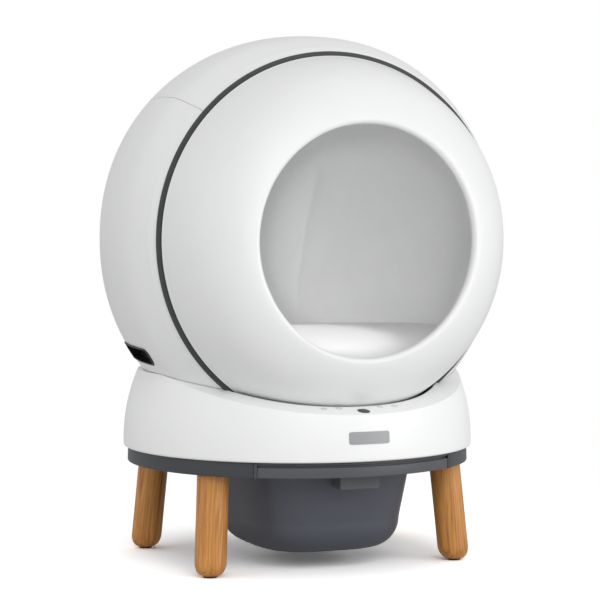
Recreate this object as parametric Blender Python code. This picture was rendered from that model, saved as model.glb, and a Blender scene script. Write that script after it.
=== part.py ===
"""Self cleaning litter box: a drum that turns in a fixed housing, on a flared base with drawer and legs.

Metres, +Z up. The origin is on the floor under the middle of the base, and the front faces -Y.
The drum's axis is level, along Y. Each object is one physical piece.
"""

import math

import bmesh
import bpy
import numpy as np
from mathutils import Matrix

# Driving sizes
HOUSING_RADIUS = 0.2858
ENTRANCE_RADIUS = 0.1553
GLOBE_Y = -0.0114
PLATFORM_BOTTOM = 0.1385
PLATFORM_HEIGHT = 0.0210
PLATFORM_TOP = PLATFORM_BOTTOM + PLATFORM_HEIGHT
HOUSING_LIFT = 0.0068
AXIS_HEIGHT = PLATFORM_TOP + HOUSING_LIFT + HOUSING_RADIUS
GAP = 0.0003
OVERRUN = 0.02
SEAM = 0.0008
STEPS = 40
FINE_STEPS = 16
ROUND_STEPS = 12
SMALL_STEPS = 8
CIRCLE_POWER = 2.0

# Housing that wraps the back of the drum
HOUSING_STRETCH = 0.0142
HOUSING_DEPTH = HOUSING_RADIUS + HOUSING_STRETCH
HOUSING_MIDDLE_Y = -0.0196
HOUSING_WALL = 0.0035
HOUSING_BACK_CUT = 0.0383
HOUSING_BACK_Y = HOUSING_RADIUS - HOUSING_BACK_CUT
DRUM_EDGE_SHARE = 0.4601
DRUM_EDGE_Y = -HOUSING_RADIUS * DRUM_EDGE_SHARE
SHADOW_GAP = 0.0040
HOUSING_FRONT_Y = DRUM_EDGE_Y + SHADOW_GAP
COLLAR_WIDTH = 0.0105
COLLAR_Y = HOUSING_FRONT_Y + COLLAR_WIDTH
BAND_WIDTH = 0.0356
HOUSING_CREASE_Y = COLLAR_Y + BAND_WIDTH
FRONT_DRAW_IN = 0.0293
HOUSING_FRONT_RADIUS = HOUSING_RADIUS - FRONT_DRAW_IN
COLLAR_STEP = 0.0075
COLLAR_RADIUS = HOUSING_FRONT_RADIUS + COLLAR_STEP
SQUARENESS = 2.10
BACK_ROUND = 0.006
HOUSING_OUTER_SHARES = (1.0, 0.985, 0.94, 0.86, 0.74, 0.58, 0.40, 0.20, 0.0)
HOUSING_INNER_SHARES = (0.0, 0.30, 0.58, 0.80, 0.94, 1.0)
FORM_SHARES = (-0.2, 0.0, 0.2, 0.35, 0.5, 0.65, 0.78)
COVER_ANGLE = math.radians(42.5)
COVER_BACK_DROP = 0.0875
COVER_BACK_Y = HOUSING_BACK_Y - COVER_BACK_DROP

# Drum
DRUM_WALL = 0.003
DRUM_CLEARANCE = 0.0218
REAR_RADIUS = HOUSING_RADIUS - DRUM_CLEARANCE
REAR_FLATNESS = 0.0505
REAR_DEPTH = REAR_RADIUS - REAR_FLATNESS
TRACK_DEPTH = 0.0045
TRACK_RADIUS = REAR_RADIUS - TRACK_DEPTH
REAR_OUTER_SHARES = (0.45, 0.62, 0.78, 0.90, 0.97)
REAR_INNER_SHARES = (0.95, 0.82, 0.60, 0.40, 0.18)
POLE_SHARE = 0.5
EDGE_STEP = 0.0050
DRUM_EDGE_RADIUS = HOUSING_FRONT_RADIUS - EDGE_STEP
DRUM_EDGE_ROUND = 0.0030
DOME_SLOPE = 0.312
DOME_FULLNESS = 4.0
DOME_PLACES = (0.30, 0.50, 0.64, 0.75, 0.84, 0.91, 0.96, 1.0)
FLANGE_WIDTH = 0.0145
DRUM_FLANGE_RADIUS = DRUM_EDGE_RADIUS - FLANGE_WIDTH
RING_STEP = 0.0020
JOINT_RING_RADIUS = DRUM_EDGE_RADIUS - RING_STEP
JOINT_RING_WIDTH = 0.0125

# The entrance's lip starts where the front dome has come in to it, and that gives the dome its depth
LIP_ROUND = 0.006
LIP_START = math.radians(160)
LIP_END = math.radians(270)
RETURN_LENGTH = 0.003
RIM_RADIUS = ENTRANCE_RADIUS + LIP_ROUND * (1 + math.sin(LIP_START))
RIM_REACH_SHARE = 0.4595
RIM_REACH = DRUM_EDGE_RADIUS * RIM_REACH_SHARE
RIM_Y = DRUM_EDGE_Y - RIM_REACH
RIM_SHARE = (RIM_RADIUS / (DRUM_EDGE_RADIUS - DOME_SLOPE * RIM_REACH)) ** DOME_FULLNESS
DOME_DEPTH = RIM_REACH / (1 - RIM_SHARE) ** (1 / DOME_FULLNESS)
ENTRANCE_Y = RIM_Y - LIP_ROUND * (1 + math.cos(LIP_START))
RETURN_END_Y = ENTRANCE_Y + LIP_ROUND + RETURN_LENGTH

# Liner, whose front edge meets the lip's return
LINER_INSET = 0.0085
LINER_RADIUS = REAR_RADIUS - LINER_INSET
LINER_BACK_GAP = 0.0070
LINER_DEPTH = REAR_DEPTH - LINER_BACK_GAP
LINER_WALL = 0.0025
LINER_EDGE_STEP = 0.0048
LINER_EDGE_RADIUS = ENTRANCE_RADIUS + LINER_EDGE_STEP
NECK_SHARE = 0.7105
NECK_Y = GLOBE_Y - LINER_RADIUS * NECK_SHARE
LINER_FRONT_SHARES = (1.0, 0.72, 0.42, 0.0)
LINER_BACK_SHARES = (0.40, 0.70, 0.88, 0.97)
PORT_LENGTH = 0.115
PORT_RIGHT_X = 0.085
PORT_LEFT_X = -0.020
SIFTER_LEFT_X = -0.150
SIFTER_RIGHT_X = -0.030
SIFTER_SLOTS = 6
SIFTER_SLOT = 0.007
SIFTER_RIM = 0.008
SIFTER_SHARES = (-0.8, -0.4, 0.0, 0.4, 0.8)
DECK_THICK = 0.004
DECK_SILL_DROP = 0.0023
DECK_SILL_HEIGHT = AXIS_HEIGHT - ENTRANCE_RADIUS - DECK_SILL_DROP
DECK_CROWN = 0.0305
DECK_CREST_HEIGHT = DECK_SILL_HEIGHT + DECK_CROWN
DECK_CREST_Y = 0.040
DECK_BACK_RISE = 0.0195
DECK_BACK_HEIGHT = DECK_SILL_HEIGHT + DECK_BACK_RISE
DECK_BACK_INSET = 0.0051
DECK_BACK_Y = GLOBE_Y + LINER_DEPTH - DECK_BACK_INSET
DECK_FRONT_SHARES = (1.2, 1.0, 0.8, 0.6, 0.4, 0.2, 0.0)
DECK_BACK_SHARES = (0.4, 0.7, 1.0, 1.2)

# Base shell, which meets the housing's side at the shoulder
LEDGE_RISE = 0.0630
LEDGE_FRONT_HEIGHT = PLATFORM_TOP + LEDGE_RISE
SHOULDER_RISE = 0.0460
SHOULDER_HEIGHT = LEDGE_FRONT_HEIGHT + SHOULDER_RISE
BELLY_RISE = 0.0085
BELLY_HEIGHT = PLATFORM_TOP + BELLY_RISE
FLARE_RADIUS = 0.255
FLARE_DRAW_IN = FLARE_RADIUS - math.sqrt(FLARE_RADIUS**2 - (SHOULDER_HEIGHT - BELLY_HEIGHT) ** 2)
SHOULDER_SHARE = (AXIS_HEIGHT - SHOULDER_HEIGHT) / HOUSING_RADIUS
HOUSING_SIDE = HOUSING_RADIUS * (1 - SHOULDER_SHARE**SQUARENESS) ** (1 / SQUARENESS)
BASE_STEP = 0.00255
BASE_RADIUS = HOUSING_SIDE + BASE_STEP + FLARE_DRAW_IN
BASE_WALL = 0.0035
BASE_CORNER = 0.003
LEDGE_INSET = 0.0078
LEDGE_FRONT_Y = LEDGE_INSET - BASE_RADIUS
LEDGE_SLOPE_SHARE = 0.257
SHOULDER_BLEND = 0.030
POCKET_GAP = 0.004
POCKET_INSET = 0.0048
POCKET_RADIUS = HOUSING_RADIUS - POCKET_INSET
POCKET_SHARES = (0.7, 0.35, 0.0, -0.5, -1.0, -1.5)

# Drive and rollers
RING_TEETH = 60
PINION_TEETH = 8
RING_PITCH_DROP = 0.0065
RING_PITCH_RADIUS = TRACK_RADIUS - RING_PITCH_DROP
ADDENDUM = 0.0038
DEDENDUM = 0.0048
TIP_SHARE = 0.16
FOOT_SHARE = 0.31
GEAR_FRONT_SHARE = 0.3906
GEAR_FRONT_Y = GLOBE_Y + REAR_DEPTH * GEAR_FRONT_SHARE
GEAR_WIDTH = 0.014
PINION_ANGLE = math.radians(32)
SHAFT_RADIUS = 0.005
SHAFT_REACH = 0.006
GEARBOX_GAP = 0.004
GEARBOX_INNER_WIDTH = 0.027
GEARBOX_DEPTH = 0.035
GEARBOX_HEAD = 0.0249
GEARBOX_CLEARANCE = 0.0264
MOTOR_RADIUS = 0.017
MOTOR_LENGTH = 0.064
MOTOR_RISE = 0.0255
MOTOR_HEIGHT = PLATFORM_TOP + MOTOR_RISE
BRACKET_WIDTH = 0.030
BRACKET_DEPTH = 0.025
ROLLER_RADIUS = 0.016
ROLLER_WIDTH = 0.014
ROLLER_BORE_RADIUS = 0.0044
AXLE_RADIUS = 0.004
ROLLER_ANGLE = math.radians(36)
ROLLER_SPREAD = 0.0335
CRADLE_WALL = 0.004
CRADLE_WIDTH = 0.040
CRADLE_END_CLEARANCE = 0.012
CRADLE_HEAD = 0.008
MAGNET_RADIUS = 0.005
MAGNET_THICK = 0.003
SENSOR_WIDTH = 0.016
SENSING_GAP = 0.0028

# Controls
BUTTON_BACK = 0.0264
BUTTON_Y = LEDGE_FRONT_Y + BUTTON_BACK
BUTTON_PLACES = (-0.052, -0.030, 0.030, 0.052)
BUTTON_RADIUS = 0.0045
BUTTON_PROUD = 0.0005
BUTTON_FLANGE = 0.0015
BUTTON_FLANGE_THICK = 0.0012
BUTTON_TRAVEL = 0.0008
STEM_RADIUS = 0.0015
BOARD_DROP = 0.0081
BOARD_THICK = 0.0016
BUTTON_BOARD_LENGTH = 0.132
BUTTON_BOARD_DEPTH = 0.022
PIPE_RADIUS = 0.0012
PIPE_OFFSET = 0.0085
WINDOW_RADIUS = 0.0085
WINDOW_BACK = 0.0129
WINDOW_Y = LEDGE_FRONT_Y + WINDOW_BACK
WINDOW_DEPTH = 0.006
POST_RADIUS = 0.003
POST_PLACE = 0.0195
BADGE_LENGTH = 0.0585
BADGE_HEIGHT = 0.0165
BADGE_ROUND = 0.0030
BADGE_RISE = 0.0323
BADGE_MIDDLE_HEIGHT = PLATFORM_TOP + BADGE_RISE
BADGE_THICK = 0.0005
MAIN_BOARD_LENGTH = 0.110
MAIN_BOARD_HEIGHT = 0.045
MAIN_BOARD_INSET = 0.0302
MAIN_BOARD_Y = MAIN_BOARD_INSET - BASE_RADIUS
INLET_RISE = 0.0255
INLET_HEIGHT = PLATFORM_TOP + INLET_RISE
INLET_RADIUS = 0.0055
INLET_BORE_RADIUS = 0.0034
INLET_LENGTH = 0.010
INLET_BORE_DEPTH = 0.008
INLET_RECESS = 0.0010

# Platform and drawer
PLATFORM_INSET = 0.0057
PLATFORM_RADIUS = BASE_RADIUS - PLATFORM_INSET
BASE_SEAT_WIDTH = 0.0115
BASE_FLANGE_RADIUS = PLATFORM_RADIUS - BASE_SEAT_WIDTH
PLATE_THICK = 0.0037
SKIRT_THICK = 0.004
DRAWER_ANGLE = math.radians(35.5)
DRAWER_HALF_WIDTH = PLATFORM_RADIUS * math.sin(DRAWER_ANGLE)
DRAWER_CLEARANCE = 0.0006
DRAWER_BACK_ROOM = 0.1245
DRAWER_BACK_Y = PLATFORM_RADIUS - DRAWER_BACK_ROOM
DRAWER_FRONT_WALL = 0.0195
CAVITY_WALL = 0.004
RUNNER_THICK = 0.002
RUNNER_REACH = 0.0044
GROOVE_CLEARANCE = 0.0005

# Bin in the drawer, and the chute above it
BIN_SIDE_MARGIN = 0.01632
BIN_FRONT_MARGIN = 0.0605
BIN_BACK_MARGIN = 0.0160
BIN_FRONT_Y = BIN_FRONT_MARGIN - PLATFORM_RADIUS
BIN_BACK_Y = DRAWER_BACK_Y - BIN_BACK_MARGIN
BIN_HALF_WIDTH = DRAWER_HALF_WIDTH - BIN_SIDE_MARGIN
BIN_HALF_DEPTH = (BIN_BACK_Y - BIN_FRONT_Y) / 2
BIN_MIDDLE_Y = (BIN_BACK_Y + BIN_FRONT_Y) / 2
BIN_WALL = 0.0025
BIN_BOTTOM = 0.0235
BIN_KNUCKLE_RISE = 0.0245
BIN_KNUCKLE_HEIGHT = BIN_BOTTOM + BIN_KNUCKLE_RISE
BIN_FLANGE = 0.0050
BIN_FLANGE_THICK = 0.003
BIN_SQUARENESS = 3.2
KNUCKLE_SHARE = 0.86
BIN_FLOOR_SHARE = 0.68
BIN_HEIGHT_SHARES = (0.0, 0.12, 0.42, 1.0)
CHUTE_SIDE_MARGIN = 0.0325
CHUTE_FRONT_MARGIN = 0.0570
CHUTE_BACK_MARGIN = 0.0620
CHUTE_HALF_WIDTH = BIN_HALF_WIDTH - CHUTE_SIDE_MARGIN
CHUTE_FRONT_Y = BIN_FRONT_Y + CHUTE_FRONT_MARGIN
CHUTE_BACK_Y = BIN_BACK_Y - CHUTE_BACK_MARGIN
CHUTE_WALL = 0.0025
CHUTE_CLEARANCE = 0.0035
GRIP_HALF_WIDTH = 0.029
GRIP_DROP = 0.0190
GRIP_INSET = 0.0260
GRIP_FRONT_Y = GRIP_INSET - PLATFORM_RADIUS
GRIP_DEPTH = 0.0300
GRIP_WALL = 0.003
GRIP_CORNER = 0.004

# Side grip cups, which end just clear of the drum
CUP_LENGTH = 0.110
CUP_HEIGHT = 0.0235
CUP_MIDDLE_Y = 0.001
CUP_RISE = 0.0260
CUP_MIDDLE_HEIGHT = SHOULDER_HEIGHT + CUP_RISE
CUP_TILT = math.radians(3)
CUP_WALL = 0.0022
CUP_CLEARANCE = 0.0014
CUP_TOP_DROP = AXIS_HEIGHT - CUP_MIDDLE_HEIGHT - CUP_HEIGHT / 2
CUP_DEPTH_X = math.sqrt(TRACK_RADIUS**2 - CUP_TOP_DROP**2) + CUP_CLEARANCE
CUP_ROUND = 0.009
CUP_PROUD = 0.0015

# Legs, whose heads stand beside the drawer and inside the platform's edge
LEG_RADIUS = 0.0217
LEG_SIDE_GAP = 0.03368
LEG_INSET = 0.03015
LEG_SPLAY_X = 0.0095
LEG_SPLAY_Y = 0.0135
LEG_HEAD_X = DRAWER_HALF_WIDTH + LEG_SIDE_GAP
LEG_HEAD_Y = math.sqrt((PLATFORM_RADIUS - LEG_INSET) ** 2 - LEG_HEAD_X**2)
LEG_FOOT_X = LEG_HEAD_X + LEG_SPLAY_X
LEG_FOOT_Y = LEG_HEAD_Y + LEG_SPLAY_Y
LEG_END_ROUND = 0.018
LEG_FLAT_RADIUS = 0.0095
LEG_END_SHARES = (0.0, 0.15, 0.45, 1.0)
PAD_THICK = 0.002
PAD_RADIUS = 0.009
BOSS_RADIUS = 0.0275
STUD_RADIUS = 0.004
STUD_IN_LEG = 0.026
STUD_IN_BOSS = 0.014

# Filter, whose outer corner is kept clear of the base's wall
FILTER_SIZE = (0.080, 0.050, 0.018)
FILTER_INSET = 0.0339
FILTER_ANGLE = math.radians(45.57)

CORNERS = {
    "front_left": (-1, -1),
    "front_right": (1, -1),
    "rear_left": (-1, 1),
    "rear_right": (1, 1),
}


def clear_scene():
    for obj in list(bpy.data.objects):
        bpy.data.objects.remove(obj, do_unlink=True)


def material(name, colour, roughness, metallic=0.0):
    made = bpy.data.materials.new(name)
    made.use_nodes = True
    shader = made.node_tree.nodes["Principled BSDF"]
    shader.inputs["Base Color"].default_value = (*colour, 1.0)
    shader.inputs["Roughness"].default_value = roughness
    shader.inputs["Metallic"].default_value = metallic
    made.diffuse_color = (*colour, 1.0)
    return made


def finish(name, bm, finish_material=None, smooth=True):
    """The bmesh as an object with its faces pointing out."""
    bmesh.ops.recalc_face_normals(bm, faces=bm.faces)
    mesh = bpy.data.meshes.new(name)
    bm.to_mesh(mesh)
    bm.free()
    if smooth:
        mesh.shade_smooth()
        mesh.set_sharp_from_angle(angle=math.radians(35))
    if finish_material:
        mesh.materials.append(finish_material)
    obj = bpy.data.objects.new(name, mesh)
    bpy.context.scene.collection.objects.link(obj)
    return obj


def hide(obj):
    """Keeps a cutter out of the model."""
    obj.hide_render = True
    obj.display_type = "WIRE"
    return obj


def combine(obj, other, operation):
    hide(other)
    modifier = obj.modifiers.new(other.name, "BOOLEAN")
    modifier.operation = operation
    modifier.solver = "EXACT"
    modifier.object = other
    return obj


def cut(obj, *cutters):
    for cutter in cutters:
        combine(obj, cutter, "DIFFERENCE")
    return obj


def join(obj, *others):
    for other in others:
        combine(obj, other, "UNION")
    return obj


def keep(obj, region):
    return combine(obj, region, "INTERSECT")


def loft(name, rings, finish_material=None, closed=False):
    """A solid through rings of equal counts of points. Its ends are capped, or joined when closed."""
    bm = bmesh.new()
    loops = [[bm.verts.new(point) for point in ring] for ring in rings]
    count = len(loops[0])
    pairs = list(zip(loops, loops[1:]))
    if closed:
        pairs.append((loops[-1], loops[0]))
    for first, second in pairs:
        for i in range(count):
            j = (i + 1) % count
            bm.faces.new((first[i], first[j], second[j], second[i]))
    if not closed:
        bm.faces.new(loops[0])
        bm.faces.new(loops[-1])
    return finish(name, bm, finish_material)


def box(name, low, high, finish_material=None):
    """A block between two corners, with its origin at its middle."""
    bm = bmesh.new()
    size = np.subtract(high, low)
    bmesh.ops.create_cube(bm, size=1)
    bmesh.ops.scale(bm, vec=size, verts=bm.verts)
    obj = finish(name, bm, finish_material, smooth=False)
    obj.location = (np.add(low, high) / 2).tolist()
    return obj


def blocks(name, corner_pairs):
    """Separate blocks in one mesh, as one cutter."""
    bm = bmesh.new()
    for low, high in corner_pairs:
        middle = Matrix.Translation((np.add(low, high) / 2).tolist())
        size = Matrix.Diagonal((*np.subtract(high, low).tolist(), 1.0))
        bmesh.ops.create_cube(bm, size=1, matrix=middle @ size)
    return finish(name, bm, smooth=False)


def prism(name, outline, low, high, axis, finish_material=None):
    """An outline of the other two places, pushed along an axis: 0 for X, 1 for Y or 2 for Z."""
    rings = []
    for level in (low, high):
        ring = []
        for a, b in outline:
            point = [a, b]
            point.insert(axis, level)
            ring.append(point)
        rings.append(ring)
    return loft(name, rings, finish_material)


def circle(radius, steps, squareness=CIRCLE_POWER):
    """Points of a circle or, above 2, of a slightly squared circle, as two arrays."""
    angle = np.arange(steps) * 2 * math.pi / steps
    across, up = np.cos(angle), np.sin(angle)
    reach = (np.abs(across) ** squareness + np.abs(up) ** squareness) ** (-1 / squareness)
    return radius * reach * across, radius * reach * up


def ring_about_drum(y, radius, steps=STEPS, squareness=CIRCLE_POWER):
    across, up = circle(radius, steps, squareness)
    return np.stack([across, np.full(steps, y), AXIS_HEIGHT + up], axis=1).tolist()


def ring_about_z(z, radius, x=0.0, y=0.0, steps=STEPS):
    across, along = circle(radius, steps)
    return np.stack([x + across, y + along, np.full(steps, z)], axis=1).tolist()


def turned_on_drum(name, outline, finish_material=None, closed=False, steps=STEPS):
    """A solid of revolution about the drum's axis, from (y, radius) points."""
    return loft(name, [ring_about_drum(y, r, steps) for y, r in outline], finish_material, closed)


def turned_upright(name, outline, finish_material=None, closed=False, steps=STEPS, x=0.0, y=0.0):
    """A solid of revolution about an upright axis, from (z, radius) points."""
    return loft(name, [ring_about_z(z, r, x, y, steps) for z, r in outline], finish_material, closed)


def local_rod(name, outline, finish_material=None, steps=ROUND_STEPS):
    """A turned solid on its own Z axis, from (z, radius) points."""
    return turned_upright(name, outline, finish_material, steps=steps)


def empty(name, place):
    made = bpy.data.objects.new(name, None)
    made.location = place
    bpy.context.scene.collection.objects.link(made)
    return made


def hang(obj, parent):
    """Parents a piece that is in world coordinates, with its origin moved onto its parent's."""
    obj.data.transform(Matrix.Translation(obj.location - parent.location))
    obj.location = (0, 0, 0)
    obj.parent = parent
    return obj


def ellipse_radius(y, middle, depth, radius):
    share = np.clip((y - middle) / depth, -1, 1)
    return radius * np.sqrt(1 - share**2)


def arc(middle_a, middle_b, radius, start, end, count):
    """Points (a, b) of an arc, where the angle runs from the first direction to the second."""
    angles = np.linspace(start, end, count)
    return [(middle_a + radius * math.cos(t), middle_b + radius * math.sin(t)) for t in angles]


def rounded_outline(length, height, corner, count=4):
    """A rectangle with round corners about the origin."""
    points = []
    for quarter, (side, level) in enumerate(((1, 1), (-1, 1), (-1, -1), (1, -1))):
        start = quarter * math.pi / 2
        middle = (side * (length / 2 - corner), level * (height / 2 - corner))
        points += arc(*middle, corner, start, start + math.pi / 2, count)
    return points


def parting_height(y):
    """The base's top: a ramp behind the front edge that eases into a level shoulder."""
    rise = SHOULDER_HEIGHT - LEDGE_FRONT_HEIGHT
    meet = LEDGE_FRONT_Y + rise / LEDGE_SLOPE_SHARE
    if y <= meet - SHOULDER_BLEND:
        return SHOULDER_HEIGHT - LEDGE_SLOPE_SHARE * (meet - y)
    if y >= meet + SHOULDER_BLEND:
        return SHOULDER_HEIGHT
    return SHOULDER_HEIGHT - LEDGE_SLOPE_SHARE * (meet + SHOULDER_BLEND - y) ** 2 / (4 * SHOULDER_BLEND)


def parting_line(offset):
    meet = LEDGE_FRONT_Y + (SHOULDER_HEIGHT - LEDGE_FRONT_HEIGHT) / LEDGE_SLOPE_SHARE
    reach = BASE_RADIUS + OVERRUN
    blend = np.linspace(meet - SHOULDER_BLEND, meet + SHOULDER_BLEND, 6).tolist()
    return [(y, parting_height(y) + offset) for y in [-reach, *blend, reach]]


def above_parting(name, offset):
    line = parting_line(offset)
    top = AXIS_HEIGHT + HOUSING_RADIUS + OVERRUN
    outline = [*line, (line[-1][0], top), (line[0][0], top)]
    half = BASE_RADIUS + OVERRUN
    return prism(name, outline, -half, half, 0)


def below_parting(name, offset):
    line = parting_line(offset)
    outline = [*line, (line[-1][0], 0), (line[0][0], 0)]
    half = HOUSING_RADIUS + OVERRUN
    return prism(name, outline, -half, half, 0)


def base_radius(z):
    return BASE_RADIUS - FLARE_RADIUS + math.sqrt(FLARE_RADIUS**2 - (z - BELLY_HEIGHT) ** 2)


def base_outline(inset, bottom, top, count):
    heights = np.linspace(bottom, top, count)
    return [(z, base_radius(z) - inset) for z in heights]


def drum_front_radius(y):
    """The front dome, a cone from the drum's edge that is rounded over towards its front."""
    reach = max(DRUM_EDGE_Y - y, 0)
    share = min(reach / DOME_DEPTH, 1) ** DOME_FULLNESS
    return (DRUM_EDGE_RADIUS - DOME_SLOPE * reach) * (1 - share) ** (1 / DOME_FULLNESS)


def drum_rear_radius(y):
    depth = REAR_RADIUS if y < GLOBE_Y else REAR_DEPTH
    return float(ellipse_radius(y, GLOBE_Y, depth, REAR_RADIUS))


def liner_radius(y, inset=0.0):
    """The liner's bowl, with a conical neck from its front edge back to where the bowl starts."""
    if y < NECK_Y:
        share = (NECK_Y - y) / (NECK_Y - RETURN_END_Y - GAP)
        return liner_radius(NECK_Y, inset) * (1 - share) + (LINER_EDGE_RADIUS - inset) * share
    front = y < GLOBE_Y
    depth = (LINER_RADIUS if front else LINER_DEPTH) - inset
    return float(ellipse_radius(y, GLOBE_Y, depth, LINER_RADIUS - inset))


def housing_radius(y, inset=0.0):
    """The housing's radius before it is squared: an ellipse, then a straight band and a collar."""
    if y >= HOUSING_CREASE_Y:
        return float(ellipse_radius(y, HOUSING_MIDDLE_Y, HOUSING_DEPTH, HOUSING_RADIUS)) - inset
    crease = float(ellipse_radius(HOUSING_CREASE_Y, HOUSING_MIDDLE_Y, HOUSING_DEPTH, HOUSING_RADIUS))
    stations = (HOUSING_FRONT_Y, COLLAR_Y, HOUSING_CREASE_Y)
    return float(np.interp(y, stations, (HOUSING_FRONT_RADIUS, COLLAR_RADIUS, crease))) - inset


def housing_squareness(y):
    share = np.clip((y - COLLAR_Y) / (HOUSING_CREASE_Y - COLLAR_Y), 0, 1)
    return CIRCLE_POWER + (SQUARENESS - CIRCLE_POWER) * float(share)


def housing_rings(stations, inset):
    return [ring_about_drum(y, housing_radius(y, inset), STEPS, housing_squareness(y)) for y in stations]


def housing_solid(name, proud):
    """The housing's whole outer form, as a tool to trim what follows its surface."""
    stations = [HOUSING_FRONT_Y, COLLAR_Y, HOUSING_CREASE_Y]
    stations += [HOUSING_RADIUS * share for share in FORM_SHARES]
    return loft(name, housing_rings(stations, -proud))


def housing_shell(name, finish_material):
    """Outer skin from the back to the front edge, then the inner skin to the back again."""
    outer_back = [HOUSING_BACK_Y * share for share in HOUSING_OUTER_SHARES]
    outer_front = [HOUSING_CREASE_Y / 2, HOUSING_CREASE_Y, COLLAR_Y, HOUSING_FRONT_Y]
    rings = housing_rings(outer_back, 0.0)
    rings[0] = ring_about_drum(HOUSING_BACK_Y, housing_radius(HOUSING_BACK_Y) - BACK_ROUND, STEPS, SQUARENESS)
    rings += housing_rings(outer_front, 0.0)
    inner_front = [HOUSING_FRONT_Y, COLLAR_Y, HOUSING_CREASE_Y, HOUSING_CREASE_Y / 2]
    inner_back = [(HOUSING_BACK_Y - HOUSING_WALL) * share for share in HOUSING_INNER_SHARES]
    rings += housing_rings(inner_front + inner_back, HOUSING_WALL)
    return loft(name, rings, finish_material)


def cover_wedge(name, gap):
    """The wedge above the drum's axis whose sides are the top cover's side seams."""
    reach = HOUSING_RADIUS + OVERRUN
    drop = gap / math.cos(COVER_ANGLE)
    top = AXIS_HEIGHT + reach
    side = (reach + drop) / math.tan(COVER_ANGLE)
    outline = [(0, AXIS_HEIGHT - drop), (side, top), (-side, top)]
    return prism(name, outline, HOUSING_FRONT_Y - OVERRUN, COVER_BACK_Y + gap, 1)


def cup_prism(name, side, inset, near_x):
    """The side grip's slanted round-ended block, from near_x outwards."""
    outline = rounded_outline(CUP_LENGTH - 2 * inset, CUP_HEIGHT - 2 * inset, CUP_ROUND - inset)
    turn, lift = math.cos(CUP_TILT), math.sin(CUP_TILT)
    slanted = [
        (CUP_MIDDLE_Y + a * turn - b * lift, CUP_MIDDLE_HEIGHT + a * lift + b * turn) for a, b in outline
    ]
    return prism(name, slanted, side * near_x, side * (HOUSING_RADIUS + OVERRUN), 0)


def make_housing(white, dark):
    body = housing_shell("housing_body", white)
    cut(body, below_parting("housing_body_foot_cut", SEAM), cover_wedge("cover_opening", SEAM))
    cover = housing_shell("housing_top_cover", white)
    keep(cover, cover_wedge("cover_region", 0.0))
    for side, word in ((-1, "left"), (1, "right")):
        cut(body, cup_prism("grip_slot_" + word, side, 0.0, CUP_DEPTH_X - OVERRUN))
        cup = cup_prism("grip_cup_" + word, side, GAP, CUP_DEPTH_X)
        cup.data.materials.append(dark)
        keep(cup, housing_solid("grip_face_" + word, CUP_PROUD))
        cut(cup, cup_prism("grip_hollow_" + word, side, CUP_WALL, CUP_DEPTH_X + CUP_WALL))
    return cover


def make_front_shell(axis, white):
    """The front dome, with the entrance's rolled lip and a flange at its rear edge."""
    lip = arc(ENTRANCE_Y + LIP_ROUND, ENTRANCE_RADIUS + LIP_ROUND, LIP_ROUND, LIP_START, LIP_END, 4)
    edge_y = DRUM_EDGE_Y - DRUM_EDGE_ROUND
    outline = arc(edge_y, DRUM_EDGE_RADIUS - DRUM_EDGE_ROUND, DRUM_EDGE_ROUND, 0, math.pi / 2, 3)
    face = [edge_y + (lip[0][0] + GAP - edge_y) * share for share in DOME_PLACES]
    outline += [(y, drum_front_radius(y)) for y in face]
    outline += lip
    outline += [(RETURN_END_Y, ENTRANCE_RADIUS), (RETURN_END_Y, ENTRANCE_RADIUS + DRUM_WALL)]
    flange_y = DRUM_EDGE_Y - DRUM_WALL
    back = [flange_y + (face[-1] + DRUM_WALL - flange_y) * share for share in reversed(DOME_PLACES)]
    outline += [(y, drum_front_radius(y - DRUM_WALL / 2) - DRUM_WALL) for y in back]
    outline += [(flange_y, DRUM_EDGE_RADIUS - DRUM_WALL), (flange_y, DRUM_FLANGE_RADIUS)]
    outline.append((DRUM_EDGE_Y, DRUM_FLANGE_RADIUS))
    hang(turned_on_drum("drum_front_shell", outline, white, closed=True), axis)


def make_joint_ring(axis, dark):
    front = DRUM_EDGE_Y + GAP
    back = front + JOINT_RING_WIDTH
    outline = [(front, DRUM_FLANGE_RADIUS), (back, DRUM_FLANGE_RADIUS)]
    outline += [(back, JOINT_RING_RADIUS), (front, JOINT_RING_RADIUS)]
    hang(turned_on_drum("drum_joint_ring", outline, dark, closed=True), axis)


def rear_stations():
    """The rear bowl's outside from front to back: a bulge, a straight band for the rollers, an ellipse."""
    front = DRUM_EDGE_Y + JOINT_RING_WIDTH + 2 * GAP
    track_half = math.sqrt(REAR_RADIUS**2 - TRACK_RADIUS**2)
    track_front = GLOBE_Y - track_half
    track_back = GLOBE_Y + REAR_DEPTH * track_half / REAR_RADIUS
    places = [front, (front + track_front) / 2, track_front, track_back]
    places += [GLOBE_Y + share * REAR_DEPTH for share in REAR_OUTER_SHARES]
    return [(y, min(drum_rear_radius(y), TRACK_RADIUS)) for y in places]


def make_rear_shell(axis, white):
    """The rear bowl, with the waste port in its top."""
    outer = rear_stations()
    back = GLOBE_Y + REAR_DEPTH
    inner_places = [GLOBE_Y + share * REAR_DEPTH for share in REAR_INNER_SHARES]
    inner_places += [outer[2][0], outer[1][0]]
    inner = [(y - DRUM_WALL / 2, min(drum_rear_radius(y), TRACK_RADIUS) - DRUM_WALL) for y in inner_places]
    outline = [(back, outer[-1][1] * POLE_SHARE), *reversed(outer)]
    outline.append((outer[0][0], drum_rear_radius(outer[0][0]) - DRUM_WALL))
    outline += [*reversed(inner), (back - DRUM_WALL, inner[0][1] * POLE_SHARE)]
    rear = turned_on_drum("drum_rear_shell", outline, white)
    cut(rear, port_block("rear_port", PORT_LEFT_X, PORT_RIGHT_X, GAP))
    hang(rear, axis)


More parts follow.
